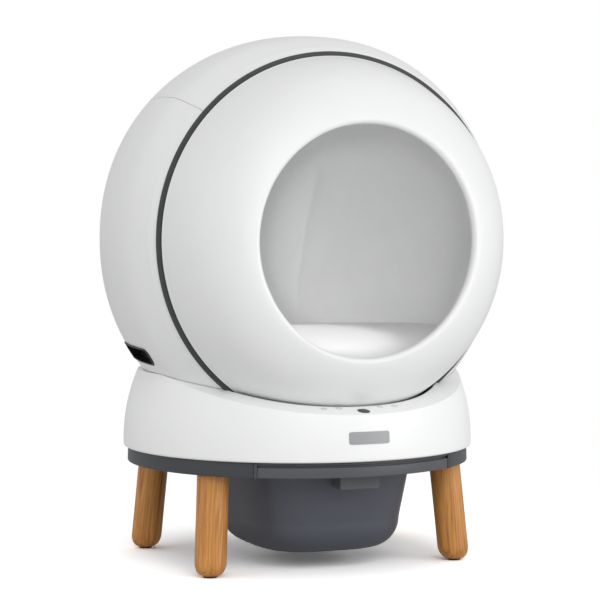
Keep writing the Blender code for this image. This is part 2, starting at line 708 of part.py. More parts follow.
def make_liner(axis, grey):
    """The liner's front ring and rear bowl, which meet where it is widest, with the port's opening in both."""
    outer = liner_outline(0.0, 0.0)
    inner = liner_outline(LINER_WALL, 0.0)
    count = 1 + len(LINER_FRONT_SHARES)
    front = turned_on_drum("drum_liner_front", outer[:count] + inner[count - 1::-1], grey, closed=True)
    seam_y = GLOBE_Y + GAP
    back = GLOBE_Y + LINER_DEPTH
    outline = [(back, outer[-1][1] * POLE_SHARE), *reversed(outer[count:]), (seam_y, outer[count - 1][1])]
    outline += [(seam_y, inner[count - 1][1]), *inner[count:], (back - LINER_WALL, inner[-1][1] * POLE_SHARE)]
    rear = turned_on_drum("drum_liner_rear", outline, grey)
    for bowl in (front, rear):
        cut(bowl, port_block(bowl.name + "_port", SIFTER_LEFT_X, PORT_RIGHT_X, GAP))
        hang(bowl, axis)


def liner_outline(inset, clearance):
    """The liner's bowl from its front edge to near its back, inset by a wall and drawn in by a clearance."""
    places = [RETURN_END_Y + GAP]
    places += [GLOBE_Y + (NECK_Y - GLOBE_Y) * share for share in LINER_FRONT_SHARES]
    places += [GLOBE_Y + (LINER_DEPTH - inset) * share for share in LINER_BACK_SHARES]
    return [(y, liner_radius(y, inset) - clearance) for y in places]


def port_block(name, left, right, gap):
    """The block over the drum's axis that cuts the waste port and the sifter's place."""
    half = PORT_LENGTH / 2
    middle = GLOBE_Y
    low = (left - gap, middle - half - gap, AXIS_HEIGHT + REAR_RADIUS / 2)
    high = (right + gap, middle + half + gap, AXIS_HEIGHT + REAR_RADIUS + OVERRUN)
    return box(name, low, high)


def make_sifter(axis, grey):
    """A slotted panel that fills the left part of the liner's opening."""
    places = [GLOBE_Y + PORT_LENGTH * share for share in SIFTER_SHARES]
    outline = [(y, liner_radius(y)) for y in places]
    outline += [(y, liner_radius(y, LINER_WALL)) for y in reversed(places)]
    sifter = turned_on_drum("sifter_panel", outline, grey, closed=True)
    keep(sifter, port_block("sifter_region", SIFTER_LEFT_X, SIFTER_RIGHT_X, 0.0))
    span = PORT_LENGTH - 2 * SIFTER_RIM
    pitch = (span + SIFTER_SLOT) / SIFTER_SLOTS
    first = GLOBE_Y - span / 2
    slots = []
    for i in range(SIFTER_SLOTS):
        low_y = first + i * pitch
        low = (SIFTER_LEFT_X + SIFTER_RIM, low_y, AXIS_HEIGHT + REAR_RADIUS / 2)
        high = (SIFTER_RIGHT_X - SIFTER_RIM, low_y + pitch - SIFTER_SLOT, AXIS_HEIGHT + REAR_RADIUS + OVERRUN)
        slots.append((low, high))
    cut(sifter, blocks("sifter_slots", slots))
    hang(sifter, axis)


def make_deck(axis, white):
    """A crowned floor that follows the liner's wall all round."""
    front = RETURN_END_Y + GAP
    deck = turned_on_drum("litter_deck", liner_outline(LINER_WALL, GAP), white)
    line = []
    rise = DECK_CREST_HEIGHT - DECK_SILL_HEIGHT
    fall = DECK_CREST_HEIGHT - DECK_BACK_HEIGHT
    for share in DECK_FRONT_SHARES:
        y = DECK_CREST_Y + (front - DECK_CREST_Y) * share
        line.append((y, DECK_CREST_HEIGHT - rise * share**2))
    for share in DECK_BACK_SHARES:
        y = DECK_CREST_Y + (DECK_BACK_Y - DECK_CREST_Y) * share
        line.append((y, DECK_CREST_HEIGHT - fall * share**2))
    under = [(y, z - DECK_THICK) for y, z in reversed(line)]
    half = LINER_RADIUS + OVERRUN
    keep(deck, prism("deck_slab", line + under, -half, half, 0))
    hang(deck, axis)


def gear_outline(teeth, pitch_radius, turn):
    """Four points a tooth: the foot, the two corners of its tip, and the other foot."""
    step = 2 * math.pi / teeth
    points = []
    for i in range(teeth):
        middle = turn + i * step
        for side_share, radius in (
            (-FOOT_SHARE, pitch_radius - DEDENDUM),
            (-TIP_SHARE, pitch_radius + ADDENDUM),
            (TIP_SHARE, pitch_radius + ADDENDUM),
            (FOOT_SHARE, pitch_radius - DEDENDUM),
        ):
            angle = middle + side_share * step
            points.append((radius * math.cos(angle), radius * math.sin(angle)))
    return points


def pinion_axis():
    reach = RING_PITCH_RADIUS + pinion_radius()
    return reach * math.sin(PINION_ANGLE), AXIS_HEIGHT - reach * math.cos(PINION_ANGLE)


def pinion_radius():
    return RING_PITCH_RADIUS * PINION_TEETH / RING_TEETH


def make_gears(axis, dark, steel_grey):
    toward = PINION_ANGLE - math.pi / 2
    outline = gear_outline(RING_TEETH, RING_PITCH_RADIUS, toward)
    placed = [(a, AXIS_HEIGHT + b) for a, b in outline]
    ring = prism("ring_gear", placed, GEAR_FRONT_Y, GEAR_FRONT_Y + GEAR_WIDTH, 1, dark)
    ends = (GEAR_FRONT_Y - OVERRUN, GEAR_FRONT_Y + GEAR_WIDTH + OVERRUN)
    places, radii = zip(*rear_stations())
    seat = float(np.interp(GEAR_FRONT_Y, places, radii))
    bore = [(y, seat + GAP) for y in ends]
    cut(ring, turned_on_drum("ring_gear_bore", bore))
    hang(ring, axis)

    x, z = pinion_axis()
    turn = toward + math.pi + math.pi / PINION_TEETH
    outline = gear_outline(PINION_TEETH, pinion_radius(), turn)
    placed = [(x + a, z + b) for a, b in outline]
    pinion = prism("drive_pinion", placed, GEAR_FRONT_Y, GEAR_FRONT_Y + GEAR_WIDTH, 1, steel_grey)
    shaft_end = GEAR_FRONT_Y + GEAR_WIDTH + GEARBOX_GAP + SHAFT_REACH
    shaft = rod_along_y("pinion_shaft", x, z, GEAR_FRONT_Y + GEAR_WIDTH / 2, shaft_end, SHAFT_RADIUS)
    join(pinion, shaft)
    spin = empty("pinion_spin_axis", (x, GEAR_FRONT_Y, z))
    hang(pinion, spin)


def rod_along_y(name, x, z, start, end, radius, finish_material=None, steps=ROUND_STEPS):
    across, up = circle(radius, steps)
    rings = [[(x + a, y, z + b) for a, b in zip(across.tolist(), up.tolist())] for y in (start, end)]
    return loft(name, rings, finish_material)


def make_motor(steel_grey, dark):
    x, z = pinion_axis()
    front = GEAR_FRONT_Y + GEAR_WIDTH + GEARBOX_GAP
    bottom = PLATFORM_TOP + GAP
    back = front + GEARBOX_DEPTH
    outer_reach = BASE_RADIUS - BASE_WALL - GEARBOX_CLEARANCE
    low = (x - GEARBOX_INNER_WIDTH, front, bottom)
    high = (math.sqrt(outer_reach**2 - back**2), back, z + GEARBOX_HEAD)
    gearbox = box("gearbox", low, high, dark)
    bore_end = front + SHAFT_REACH + GAP
    cut(gearbox, rod_along_y("gearbox_bore", x, z, front - OVERRUN, bore_end, SHAFT_RADIUS + GAP))
    middle_y = front + GEARBOX_DEPTH / 2
    motor_end = low[0] - GAP
    motor_start = motor_end - MOTOR_LENGTH
    neck = MOTOR_RADIUS / 2
    outline = [
        (motor_start - CRADLE_WALL, neck),
        (motor_start, neck),
        (motor_start, MOTOR_RADIUS),
        (motor_end, MOTOR_RADIUS),
    ]
    across, up = circle(1, FINE_STEPS)
    rings = [
        [(level, middle_y + r * a, MOTOR_HEIGHT + r * b) for a, b in zip(across.tolist(), up.tolist())]
        for level, r in outline
    ]
    loft("drive_motor", rings, steel_grey)
    middle_x = motor_start + MOTOR_LENGTH / 2
    bracket = box(
        "motor_bracket",
        (middle_x - BRACKET_WIDTH / 2, middle_y - BRACKET_DEPTH / 2, bottom),
        (middle_x + BRACKET_WIDTH / 2, middle_y + BRACKET_DEPTH / 2, MOTOR_HEIGHT - MOTOR_RADIUS / 2),
        dark,
    )
    saddle_radius = MOTOR_RADIUS + GAP
    rings = [
        [(level, middle_y + saddle_radius * a, MOTOR_HEIGHT + saddle_radius * b) for a, b in
         zip(across.tolist(), up.tolist())]
        for level in (motor_start, motor_end)
    ]
    cut(bracket, loft("motor_saddle", rings))


def make_rollers(rubber, steel_grey, dark):
    reach = TRACK_RADIUS + ROLLER_RADIUS + GAP
    drop = reach * math.cos(ROLLER_ANGLE)
    z = AXIS_HEIGHT - drop
    half_width = ROLLER_WIDTH / 2
    for side, word in ((-1, "left"), (1, "right")):
        x = side * reach * math.sin(ROLLER_ANGLE)
        places = ((GLOBE_Y - ROLLER_SPREAD, "front"), (GLOBE_Y + ROLLER_SPREAD, "rear"))
        for y, end in places:
            outline = [
                (-half_width, ROLLER_BORE_RADIUS),
                (half_width, ROLLER_BORE_RADIUS),
                (half_width, ROLLER_RADIUS),
                (-half_width, ROLLER_RADIUS),
            ]
            across, up = circle(1, FINE_STEPS)
            rings = [
                [(r * a, level, r * b) for a, b in zip(across.tolist(), up.tolist())] for level, r in outline
            ]
            roller = loft(f"roller_{word}_{end}", rings, rubber, closed=True)
            roller.location = (x, y, z)
        low_y = GLOBE_Y - ROLLER_SPREAD - half_width - CRADLE_END_CLEARANCE
        high_y = GLOBE_Y + ROLLER_SPREAD + half_width + CRADLE_END_CLEARANCE
        rod_along_y(f"roller_axle_{word}", x, z, low_y, high_y, AXLE_RADIUS, steel_grey)
        make_cradle(word, x, z, low_y, high_y, dark)


def make_cradle(word, x, z, low_y, high_y, finish_material):
    """A channel whose two ends carry the axle."""
    half = CRADLE_WIDTH / 2
    bottom = PLATFORM_TOP + GAP
    head = z + CRADLE_HEAD
    floor = bottom + CRADLE_WALL
    outline = [
        (low_y, bottom),
        (high_y, bottom),
        (high_y, head),
        (high_y - CRADLE_WALL, head),
        (high_y - CRADLE_WALL, floor),
        (low_y + CRADLE_WALL, floor),
        (low_y + CRADLE_WALL, head),
        (low_y, head),
    ]
    cradle = prism(f"roller_cradle_{word}", outline, x - half / 2, x + half / 2, 0, finish_material)
    bore = rod_along_y(f"cradle_bore_{word}", x, z, low_y - OVERRUN, high_y + OVERRUN, AXLE_RADIUS + GAP)
    cut(cradle, bore)


def make_homing(axis, dark, steel_grey):
    """A magnet flat on the rear bowl's slope ahead of the ring gear, and the sensor that it passes."""
    (start_y, start_radius), (end_y, end_radius) = rear_stations()[3:5]
    y = (start_y + end_y) / 2
    radius = (start_radius + end_radius) / 2
    tilt = math.atan2(start_radius - end_radius, end_y - start_y)
    outline = [(-GAP - MAGNET_THICK, MAGNET_RADIUS), (-GAP, MAGNET_RADIUS)]
    magnet = local_rod("homing_magnet", outline, steel_grey)
    magnet.location = (0, y - GLOBE_Y, -radius)
    magnet.rotation_euler = (tilt, 0, 0)
    magnet.parent = axis
    half = SENSOR_WIDTH / 2
    lowest = radius + (GAP + MAGNET_THICK) * math.cos(tilt) + MAGNET_RADIUS * math.sin(tilt)
    low = (-half, y - half / 2, PLATFORM_TOP + GAP)
    high = (half, y + half / 2, AXIS_HEIGHT - lowest - SENSING_GAP)
    box("homing_sensor", low, high, dark)


def ledge_frame(x, y):
    """Where a control sits on the sloping ledge, and its tilt."""
    return (x, y, parting_height(y)), (math.atan(LEDGE_SLOPE_SHARE), 0, 0)


def set_on_ledge(obj, x, y):
    obj.location, obj.rotation_euler = ledge_frame(x, y)
    return obj


def make_base(white, dark, badge_grey):
    bottom = PLATFORM_TOP + GAP
    low_corner = arc(bottom + BASE_CORNER, 0, BASE_CORNER, math.pi, math.pi / 2, 3)
    outline = [(z, base_radius(bottom + BASE_CORNER) - BASE_CORNER + r) for z, r in low_corner]
    top = SHOULDER_HEIGHT + OVERRUN
    outline += base_outline(0.0, bottom + 2 * BASE_CORNER, top, 7)
    base = turned_upright("base_shell", outline, white)
    cut(base, above_parting("base_top_cut", 0.0))
    floor = bottom + BASE_WALL
    opening = [(bottom - OVERRUN, BASE_FLANGE_RADIUS), (floor, BASE_FLANGE_RADIUS)]
    cavity = turned_upright("base_cavity", opening + base_outline(BASE_WALL, floor, top, 6))
    cut(cavity, above_parting("base_ceiling", -BASE_WALL))
    cut(base, cavity)
    places = np.linspace(ENTRANCE_Y + LIP_ROUND, DRUM_EDGE_Y - DRUM_EDGE_ROUND, 9)
    outline = [(y, drum_front_radius(y) + POCKET_GAP) for y in places]
    outline.append((DRUM_EDGE_Y + GAP, outline[-1][1]))
    outline.append((HOUSING_FRONT_Y - SEAM, HOUSING_FRONT_RADIUS - HOUSING_WALL))
    rear = [GLOBE_Y + (DRUM_EDGE_Y - GLOBE_Y) * share for share in POCKET_SHARES]
    outline += [(y, float(ellipse_radius(y, GLOBE_Y, POCKET_RADIUS, POCKET_RADIUS))) for y in rear]
    cut(base, turned_on_drum("drum_pocket", outline))
    for side in (-1, 1):
        drop = [(-BOARD_DROP + GAP, POST_RADIUS), (-BASE_WALL / 2, POST_RADIUS)]
        join(base, set_on_ledge(local_rod("board_post", drop), side * POST_PLACE, BUTTON_Y))
    cut(base, control_holes())
    hole = [(-OVERRUN, INLET_RADIUS + GAP), (OVERRUN, INLET_RADIUS + GAP)]
    inlet_hole = local_rod("inlet_hole", hole)
    inlet_hole.location = (0, BASE_RADIUS, INLET_HEIGHT)
    inlet_hole.rotation_euler = (math.pi / 2, 0, 0)
    cut(base, inlet_hole)
    inlet = [
        (0, INLET_RADIUS),
        (INLET_LENGTH, INLET_RADIUS),
        (INLET_LENGTH, INLET_BORE_RADIUS),
        (INLET_LENGTH - INLET_BORE_DEPTH, INLET_BORE_RADIUS),
    ]
    jack = local_rod("power_inlet", inlet, dark)
    jack.location = (0, base_radius(INLET_HEIGHT) - INLET_RECESS - INLET_LENGTH, INLET_HEIGHT)
    jack.rotation_euler = (-math.pi / 2, 0, 0)

    low = BADGE_MIDDLE_HEIGHT - BADGE_HEIGHT
    high = BADGE_MIDDLE_HEIGHT + BADGE_HEIGHT
    skin = base_outline(-GAP, low, high, 4)
    skin += base_outline(-GAP - BADGE_THICK, high, low, 4)
    badge = turned_upright("name_plate_blank", skin, badge_grey, closed=True, steps=2 * STEPS)
    outline = rounded_outline(BADGE_LENGTH, BADGE_HEIGHT, BADGE_ROUND)
    outline = [(a, BADGE_MIDDLE_HEIGHT + b) for a, b in outline]
    keep(badge, prism("plate_region", outline, -BASE_RADIUS - OVERRUN, -BASE_RADIUS / 2, 1))


def control_holes():
    """Every hole through the ledge, as one cutter."""
    bm = bmesh.new()
    holes = [(x, BUTTON_Y, BUTTON_RADIUS + GAP) for x in BUTTON_PLACES]
    holes += [(x + math.copysign(PIPE_OFFSET, x), BUTTON_Y, PIPE_RADIUS + GAP) for x in BUTTON_PLACES]
    holes.append((0, WINDOW_Y, WINDOW_RADIUS + GAP))
    for x, y, radius in holes:
        place, tilt = ledge_frame(x, y)
        matrix = Matrix.Translation(place) @ Matrix.Rotation(tilt[0], 4, "X")
        bmesh.ops.create_cone(
            bm, cap_ends=True, segments=ROUND_STEPS, radius1=radius, radius2=radius, depth=4 * BASE_WALL,
            matrix=matrix,
        )
    return finish("control_holes", bm)


def make_controls(white, black, board_green, lamp_white):
    under = -BASE_WALL - GAP
    outline = [
        (-BOARD_DROP + BUTTON_TRAVEL + GAP, STEM_RADIUS),
        (under - BUTTON_FLANGE_THICK, STEM_RADIUS),
        (under - BUTTON_FLANGE_THICK, BUTTON_RADIUS + BUTTON_FLANGE),
        (under, BUTTON_RADIUS + BUTTON_FLANGE),
        (under, BUTTON_RADIUS),
        (BUTTON_PROUD, BUTTON_RADIUS),
    ]
    pipe = [(-BOARD_DROP + GAP, PIPE_RADIUS), (0, PIPE_RADIUS)]
    for i, x in enumerate(BUTTON_PLACES, start=1):
        set_on_ledge(local_rod(f"button_{i}", outline, white, steps=SMALL_STEPS), x, BUTTON_Y)
        light_x = x + math.copysign(PIPE_OFFSET, x)
        set_on_ledge(local_rod(f"light_pipe_{i}", pipe, lamp_white, steps=SMALL_STEPS), light_x, BUTTON_Y)
    window = [(-WINDOW_DEPTH, WINDOW_RADIUS), (0, WINDOW_RADIUS)]
    set_on_ledge(local_rod("sensor_window", window, black, steps=FINE_STEPS), 0, WINDOW_Y)

    half_x, half_y = BUTTON_BOARD_LENGTH / 2, BUTTON_BOARD_DEPTH / 2
    board = box(
        "button_board",
        (-half_x, -half_y, -BOARD_DROP - BOARD_THICK),
        (half_x, half_y, -BOARD_DROP),
        board_green,
    )
    middle = -BOARD_DROP - BOARD_THICK / 2
    (x, y, z), tilt = ledge_frame(0, BUTTON_Y)
    board.location = (x, y - middle * math.sin(tilt[0]), z + middle * math.cos(tilt[0]))
    board.rotation_euler = tilt

    bottom = PLATFORM_TOP + GAP
    half = MAIN_BOARD_LENGTH / 2
    box(
        "control_board",
        (-half, MAIN_BOARD_Y, bottom),
        (half, MAIN_BOARD_Y + BOARD_THICK, bottom + MAIN_BOARD_HEIGHT),
        board_green,
    )


def leg_place(corner, z):
    share = z / PLATFORM_BOTTOM
    x = LEG_FOOT_X + (LEG_HEAD_X - LEG_FOOT_X) * share
    y = LEG_FOOT_Y + (LEG_HEAD_Y - LEG_FOOT_Y) * share
    return corner[0] * x, corner[1] * y


def splayed(name, corner, outline, finish_material=None, steps=FINE_STEPS):
    """A leg-like solid: level circles whose middle follows the leg's slant."""
    rings = []
    for z, radius in outline:
        x, y = leg_place(corner, z)
        rings.append(ring_about_z(z, radius, x, y, steps))
    return loft(name, rings, finish_material)


def make_platform(dark):
    outline = [
        (PLATFORM_TOP, PLATFORM_RADIUS - GAP * 2),
        (PLATFORM_BOTTOM, PLATFORM_RADIUS),
        (PLATFORM_BOTTOM, PLATFORM_RADIUS - SKIRT_THICK),
        (PLATFORM_TOP - PLATE_THICK, PLATFORM_RADIUS - SKIRT_THICK),
    ]
    platform = turned_upright("platform", outline, dark)
    inside = PLATFORM_TOP - PLATE_THICK / 2
    for word, corner in CORNERS.items():
        boss = [(PLATFORM_BOTTOM, BOSS_RADIUS), (inside, BOSS_RADIUS)]
        join(platform, splayed("boss_" + word, corner, boss))
    half = DRAWER_HALF_WIDTH + DRAWER_CLEARANCE
    front = -PLATFORM_RADIUS * math.cos(DRAWER_ANGLE)
    back = DRAWER_BACK_Y + DRAWER_CLEARANCE
    walls = [
        (half, front, half + CAVITY_WALL, back + CAVITY_WALL),
        (-half - CAVITY_WALL, front, -half, back + CAVITY_WALL),
        (-half - CAVITY_WALL / 2, back, half + CAVITY_WALL / 2, back + CAVITY_WALL),
    ]
    for i, (x0, y0, x1, y1) in enumerate(walls):
        join(platform, box(f"cavity_wall_{i}", (x0, y0, PLATFORM_BOTTOM), (x1, y1, inside)))
    ceiling = PLATFORM_TOP - PLATE_THICK
    reach = PLATFORM_RADIUS + OVERRUN
    cut(
        platform,
        box("drawer_notch", (-half, -reach, PLATFORM_BOTTOM - OVERRUN), (half, front + OVERRUN, ceiling)),
        box(
            "drop_hole",
            (-CHUTE_HALF_WIDTH + CHUTE_WALL, CHUTE_FRONT_Y + CHUTE_WALL, ceiling - OVERRUN),
            (CHUTE_HALF_WIDTH - CHUTE_WALL, CHUTE_BACK_Y - CHUTE_WALL, PLATFORM_TOP + OVERRUN),
        ),
    )
    for word, corner in CORNERS.items():
        ends = (PLATFORM_BOTTOM - OVERRUN, PLATFORM_BOTTOM + STUD_IN_BOSS + GAP)
        bore = [(z, STUD_RADIUS + GAP) for z in ends]
        cut(platform, splayed("boss_bore_" + word, corner, bore, steps=ROUND_STEPS))


def make_chute(dark):
    bottom = PLATFORM_TOP + GAP
    top = AXIS_HEIGHT - TRACK_RADIUS / 2
    chute = box(
        "drop_chute", (-CHUTE_HALF_WIDTH, CHUTE_FRONT_Y, bottom), (CHUTE_HALF_WIDTH, CHUTE_BACK_Y, top), dark
    )
    reach = TRACK_RADIUS + CHUTE_CLEARANCE
    cut(
        chute,
        box(
            "chute_way",
            (-CHUTE_HALF_WIDTH + CHUTE_WALL, CHUTE_FRONT_Y + CHUTE_WALL, bottom - OVERRUN),
            (CHUTE_HALF_WIDTH - CHUTE_WALL, CHUTE_BACK_Y - CHUTE_WALL, top + OVERRUN),
        ),
        turned_on_drum("chute_drum_cut", [(CHUTE_FRONT_Y - OVERRUN, reach), (CHUTE_BACK_Y + OVERRUN, reach)]),
    )


def bin_ring(z, share, inset, steps=32):
    angle = np.arange(steps) * 2 * math.pi / steps
    across, along = np.cos(angle), np.sin(angle)
    reach = (np.abs(across) ** BIN_SQUARENESS + np.abs(along) ** BIN_SQUARENESS) ** (-1 / BIN_SQUARENESS)
    x = (BIN_HALF_WIDTH * share + inset) * reach * across
    y = BIN_MIDDLE_Y + (BIN_HALF_DEPTH * share + inset) * reach * along
    return np.stack([x, y, np.full(steps, z)], axis=1).tolist()


def bin_share(z):
    """How wide the bin is at a height: slight draft, then a quarter ellipse to its floor."""
    if z >= BIN_KNUCKLE_HEIGHT:
        rise_share = (z - BIN_KNUCKLE_HEIGHT) / (PLATFORM_BOTTOM - BIN_KNUCKLE_HEIGHT)
        return KNUCKLE_SHARE + (1 - KNUCKLE_SHARE) * rise_share
    fall_share = (BIN_KNUCKLE_HEIGHT - z) / (BIN_KNUCKLE_HEIGHT - BIN_BOTTOM)
    return BIN_FLOOR_SHARE + (KNUCKLE_SHARE - BIN_FLOOR_SHARE) * math.sqrt(max(0.0, 1 - fall_share**2))


def bin_flange_top():
    return PLATFORM_TOP - PLATE_THICK - DRAWER_CLEARANCE - GAP


def make_drawer_frame(slide, dark, steel_grey):
    """A plate that carries the bin by its flange and slides on two strips in its side grooves."""
    low = PLATFORM_BOTTOM + GAP
    high = PLATFORM_TOP - PLATE_THICK - DRAWER_CLEARANCE
    half = DRAWER_HALF_WIDTH
    frame = turned_upright("drawer_frame", [(low, PLATFORM_RADIUS), (high, PLATFORM_RADIUS)], dark)
    low_corner = (-half, -PLATFORM_RADIUS - OVERRUN, low - OVERRUN)
    keep(frame, box("drawer_region", low_corner, (half, DRAWER_BACK_Y, high + OVERRUN)))
    rim_bottom = bin_flange_top() - BIN_FLANGE_THICK - GAP
    hole = [bin_ring(z, 1.0, GAP) for z in (low - OVERRUN, high + OVERRUN)]
    rebate = [bin_ring(z, 1.0, BIN_FLANGE + 2 * GAP) for z in (rim_bottom, high + OVERRUN)]
    cut(frame, loft("bin_hole", hole), loft("bin_rebate", rebate))
    middle = (low + high) / 2
    front = -PLATFORM_RADIUS * math.cos(DRAWER_ANGLE) + DRAWER_FRONT_WALL
    wide = RUNNER_THICK / 2 + GROOVE_CLEARANCE
    reach = RUNNER_REACH + GROOVE_CLEARANCE
    grooves = []
    for side, word in ((-1, "left"), (1, "right")):
        edge = side * half
        back = DRAWER_BACK_Y + OVERRUN
        grooves.append(((edge - reach, front, middle - wide), (edge + reach, back, middle + wide)))
        xs = sorted((side * (half - RUNNER_REACH), side * (half + DRAWER_CLEARANCE - GAP)))
        low_corner = (xs[0], front + GROOVE_CLEARANCE, middle - RUNNER_THICK / 2)
        high_corner = (xs[1], DRAWER_BACK_Y, middle + RUNNER_THICK / 2)
        box(f"drawer_runner_{word}", low_corner, high_corner, steel_grey)
    cut(frame, blocks("runner_grooves", grooves))
    hang(frame, slide)


def make_bin(slide, slate):
    """A deep tub with a flange, lofted up its outside and down its inside."""
    top = bin_flange_top()
    under = top - BIN_FLANGE_THICK
    heights = [BIN_BOTTOM + (BIN_KNUCKLE_HEIGHT - BIN_BOTTOM) * share for share in BIN_HEIGHT_SHARES]
    rings = [bin_ring(z, bin_share(z), 0.0) for z in heights]
    rings += [bin_ring(PLATFORM_BOTTOM, 1.0, 0.0), bin_ring(under, 1.0, 0.0)]
    rings += [bin_ring(under, 1.0, BIN_FLANGE), bin_ring(top, 1.0, BIN_FLANGE)]
    rings += [bin_ring(top, 1.0, -BIN_WALL), bin_ring(PLATFORM_BOTTOM, 1.0, -BIN_WALL)]
    rings += [bin_ring(z + BIN_WALL, bin_share(z), -BIN_WALL) for z in reversed(heights)]
    hang(loft("waste_bin", rings, slate), slide)


def make_grip(slide, dark):
    """A hooked lip under the drawer's front, open below and behind for the fingers."""
    low = PLATFORM_BOTTOM - GRIP_DROP
    back = GRIP_FRONT_Y + GRIP_DEPTH
    outline = rounded_outline(2 * GRIP_HALF_WIDTH, 2 * GRIP_DROP, GRIP_CORNER, 3)
    placed = [(a, PLATFORM_BOTTOM + b) for a, b in outline]
    grip = prism("bin_grip", placed, GRIP_FRONT_Y, back, 1, dark)
    reach = GRIP_HALF_WIDTH + OVERRUN
    low_corner = (-reach, GRIP_FRONT_Y - OVERRUN, low - OVERRUN)
    keep(grip, box("grip_region", low_corner, (reach, back + OVERRUN, PLATFORM_BOTTOM)))
    inside = GRIP_HALF_WIDTH - GRIP_WALL
    low_corner = (-inside, GRIP_FRONT_Y + GRIP_WALL, low - OVERRUN)
    cut(grip, box("finger_way", low_corner, (inside, back + OVERRUN, PLATFORM_BOTTOM - GRIP_WALL)))
    hang(grip, slide)


def make_legs(wood, rubber, steel_grey):
    top = PLATFORM_BOTTOM - GAP
    low = PAD_THICK + GAP
    for word, corner in CORNERS.items():
        outline = []
        for share in LEG_END_SHARES:
            rise = LEG_END_ROUND * share
            spread = math.sqrt(1 - (1 - share) ** 2)
            outline.append((low + rise, LEG_FLAT_RADIUS + (LEG_RADIUS - LEG_FLAT_RADIUS) * spread))
        outline.append((top, LEG_RADIUS))
        leg = splayed("leg_" + word, corner, outline, wood)
        bore = [(top - STUD_IN_LEG - GAP, STUD_RADIUS + GAP), (top + OVERRUN, STUD_RADIUS + GAP)]
        cut(leg, splayed("leg_bore_" + word, corner, bore, steps=ROUND_STEPS))
        stud = [(top - STUD_IN_LEG, STUD_RADIUS), (PLATFORM_BOTTOM + STUD_IN_BOSS, STUD_RADIUS)]
        splayed("leg_stud_" + word, corner, stud, steel_grey, steps=ROUND_STEPS)
        splayed("foot_pad_" + word, corner, [(0, PAD_RADIUS), (PAD_THICK, PAD_RADIUS)], rubber, ROUND_STEPS)


def make_filter(charcoal):
    bottom = PLATFORM_TOP + GAP
    reach = BASE_RADIUS - FILTER_INSET
    x = -reach * math.cos(FILTER_ANGLE)
    y = reach * math.sin(FILTER_ANGLE)
    low = (x, y - FILTER_SIZE[1], bottom)
    high = (x + FILTER_SIZE[0], y, bottom + FILTER_SIZE[2])
    box("carbon_filter", low, high, charcoal)


def build():
    clear_scene()
    white = material("white plastic", (0.86, 0.86, 0.86), 0.35)
    grey = material("liner grey plastic", (0.52, 0.53, 0.54), 0.45)
    dark = material("dark grey plastic", (0.092, 0.098, 0.107), 0.5)
    black = material("black plastic", (0.015, 0.015, 0.016), 0.3)
    slate = material("slate plastic", (0.075, 0.085, 0.103), 0.45)
    wood = material("oiled wood", (0.45, 0.22, 0.08), 0.5)
    rubber = material("black rubber", (0.03, 0.03, 0.03), 0.8)
    steel_grey = material("plated steel", (0.55, 0.56, 0.58), 0.35, 1.0)
    board_green = material("circuit board", (0.03, 0.18, 0.08), 0.5)
    badge_grey = material("plate grey", (0.38, 0.39, 0.40), 0.4)
    lamp_white = material("clear light pipe", (0.9, 0.9, 0.9), 0.2)
    charcoal = material("charcoal filter", (0.02, 0.02, 0.02), 0.9)

    drum_axis = empty("drum_axis", (0, GLOBE_Y, AXIS_HEIGHT))
    bpy.context.view_layer.update()
    make_front_shell(drum_axis, white)
    make_joint_ring(drum_axis, dark)
    make_rear_shell(drum_axis, white)
    make_liner(drum_axis, grey)
    make_sifter(drum_axis, grey)
    make_deck(drum_axis, white)
    make_gears(drum_axis, dark, steel_grey)
    make_homing(drum_axis, dark, steel_grey)
    make_motor(steel_grey, dark)
    make_rollers(rubber, steel_grey, dark)
    make_housing(white, black)
    make_base(white, black, badge_grey)
    make_controls(white, black, board_green, lamp_white)
    make_platform(dark)
    make_chute(dark)
    drawer_start = empty("drawer_slide_start", (0, 0, PLATFORM_BOTTOM))
    make_drawer_frame(drawer_start, dark, steel_grey)
    make_bin(drawer_start, slate)
    make_grip(drawer_start, dark)
    make_legs(wood, rubber, steel_grey)
    make_filter(charcoal)


build()
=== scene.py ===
import math

import bmesh
import bpy
import numpy as np
from mathutils import Matrix, Vector


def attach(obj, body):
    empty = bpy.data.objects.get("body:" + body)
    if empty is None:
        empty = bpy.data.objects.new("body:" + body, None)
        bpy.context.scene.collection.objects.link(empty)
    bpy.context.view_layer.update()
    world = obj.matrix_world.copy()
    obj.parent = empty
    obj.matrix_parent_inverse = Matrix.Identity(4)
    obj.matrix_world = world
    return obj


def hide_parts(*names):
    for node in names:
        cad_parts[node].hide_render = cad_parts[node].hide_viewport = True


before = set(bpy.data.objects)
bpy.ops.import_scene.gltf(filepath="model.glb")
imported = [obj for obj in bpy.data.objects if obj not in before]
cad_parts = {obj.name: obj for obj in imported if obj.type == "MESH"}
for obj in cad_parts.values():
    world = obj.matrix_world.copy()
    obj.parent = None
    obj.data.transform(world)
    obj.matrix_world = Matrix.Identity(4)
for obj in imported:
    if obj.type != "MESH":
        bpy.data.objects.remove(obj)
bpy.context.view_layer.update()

# Sizes of the part and its trim, in metres, and shares of them
AXIS_HEIGHT = 0.4521
GLOBE_Y = -0.0114
GAP = 0.0003
SEAM = 0.0008
OVERRUN = 0.02
HOUSING_RADIUS = 0.2858
HOUSING_DEPTH = 0.300
HOUSING_MIDDLE_Y = -0.0196
HOUSING_WALL = 0.0035
HOUSING_BACK_Y = 0.2475
HOUSING_CREASE_Y = -0.0814
COLLAR_Y = -0.1170
COLLAR_RADIUS = 0.2640
HOUSING_FRONT_Y = -0.1275
HOUSING_FRONT_RADIUS = 0.2565
ROUND_POWER = 2.0
SQUARENESS = 2.10
COVER_ANGLE = math.radians(42.5)
COVER_BACK_Y = 0.160
COVER_SEAM = 0.0005
BACK_ROUND = 0.006
BACK_SIDE_SHARE = 0.6
BACK_CORNER_SHARE = 0.1
CREASE_SOFT = 0.018
COLLAR_SOFT = 0.0012
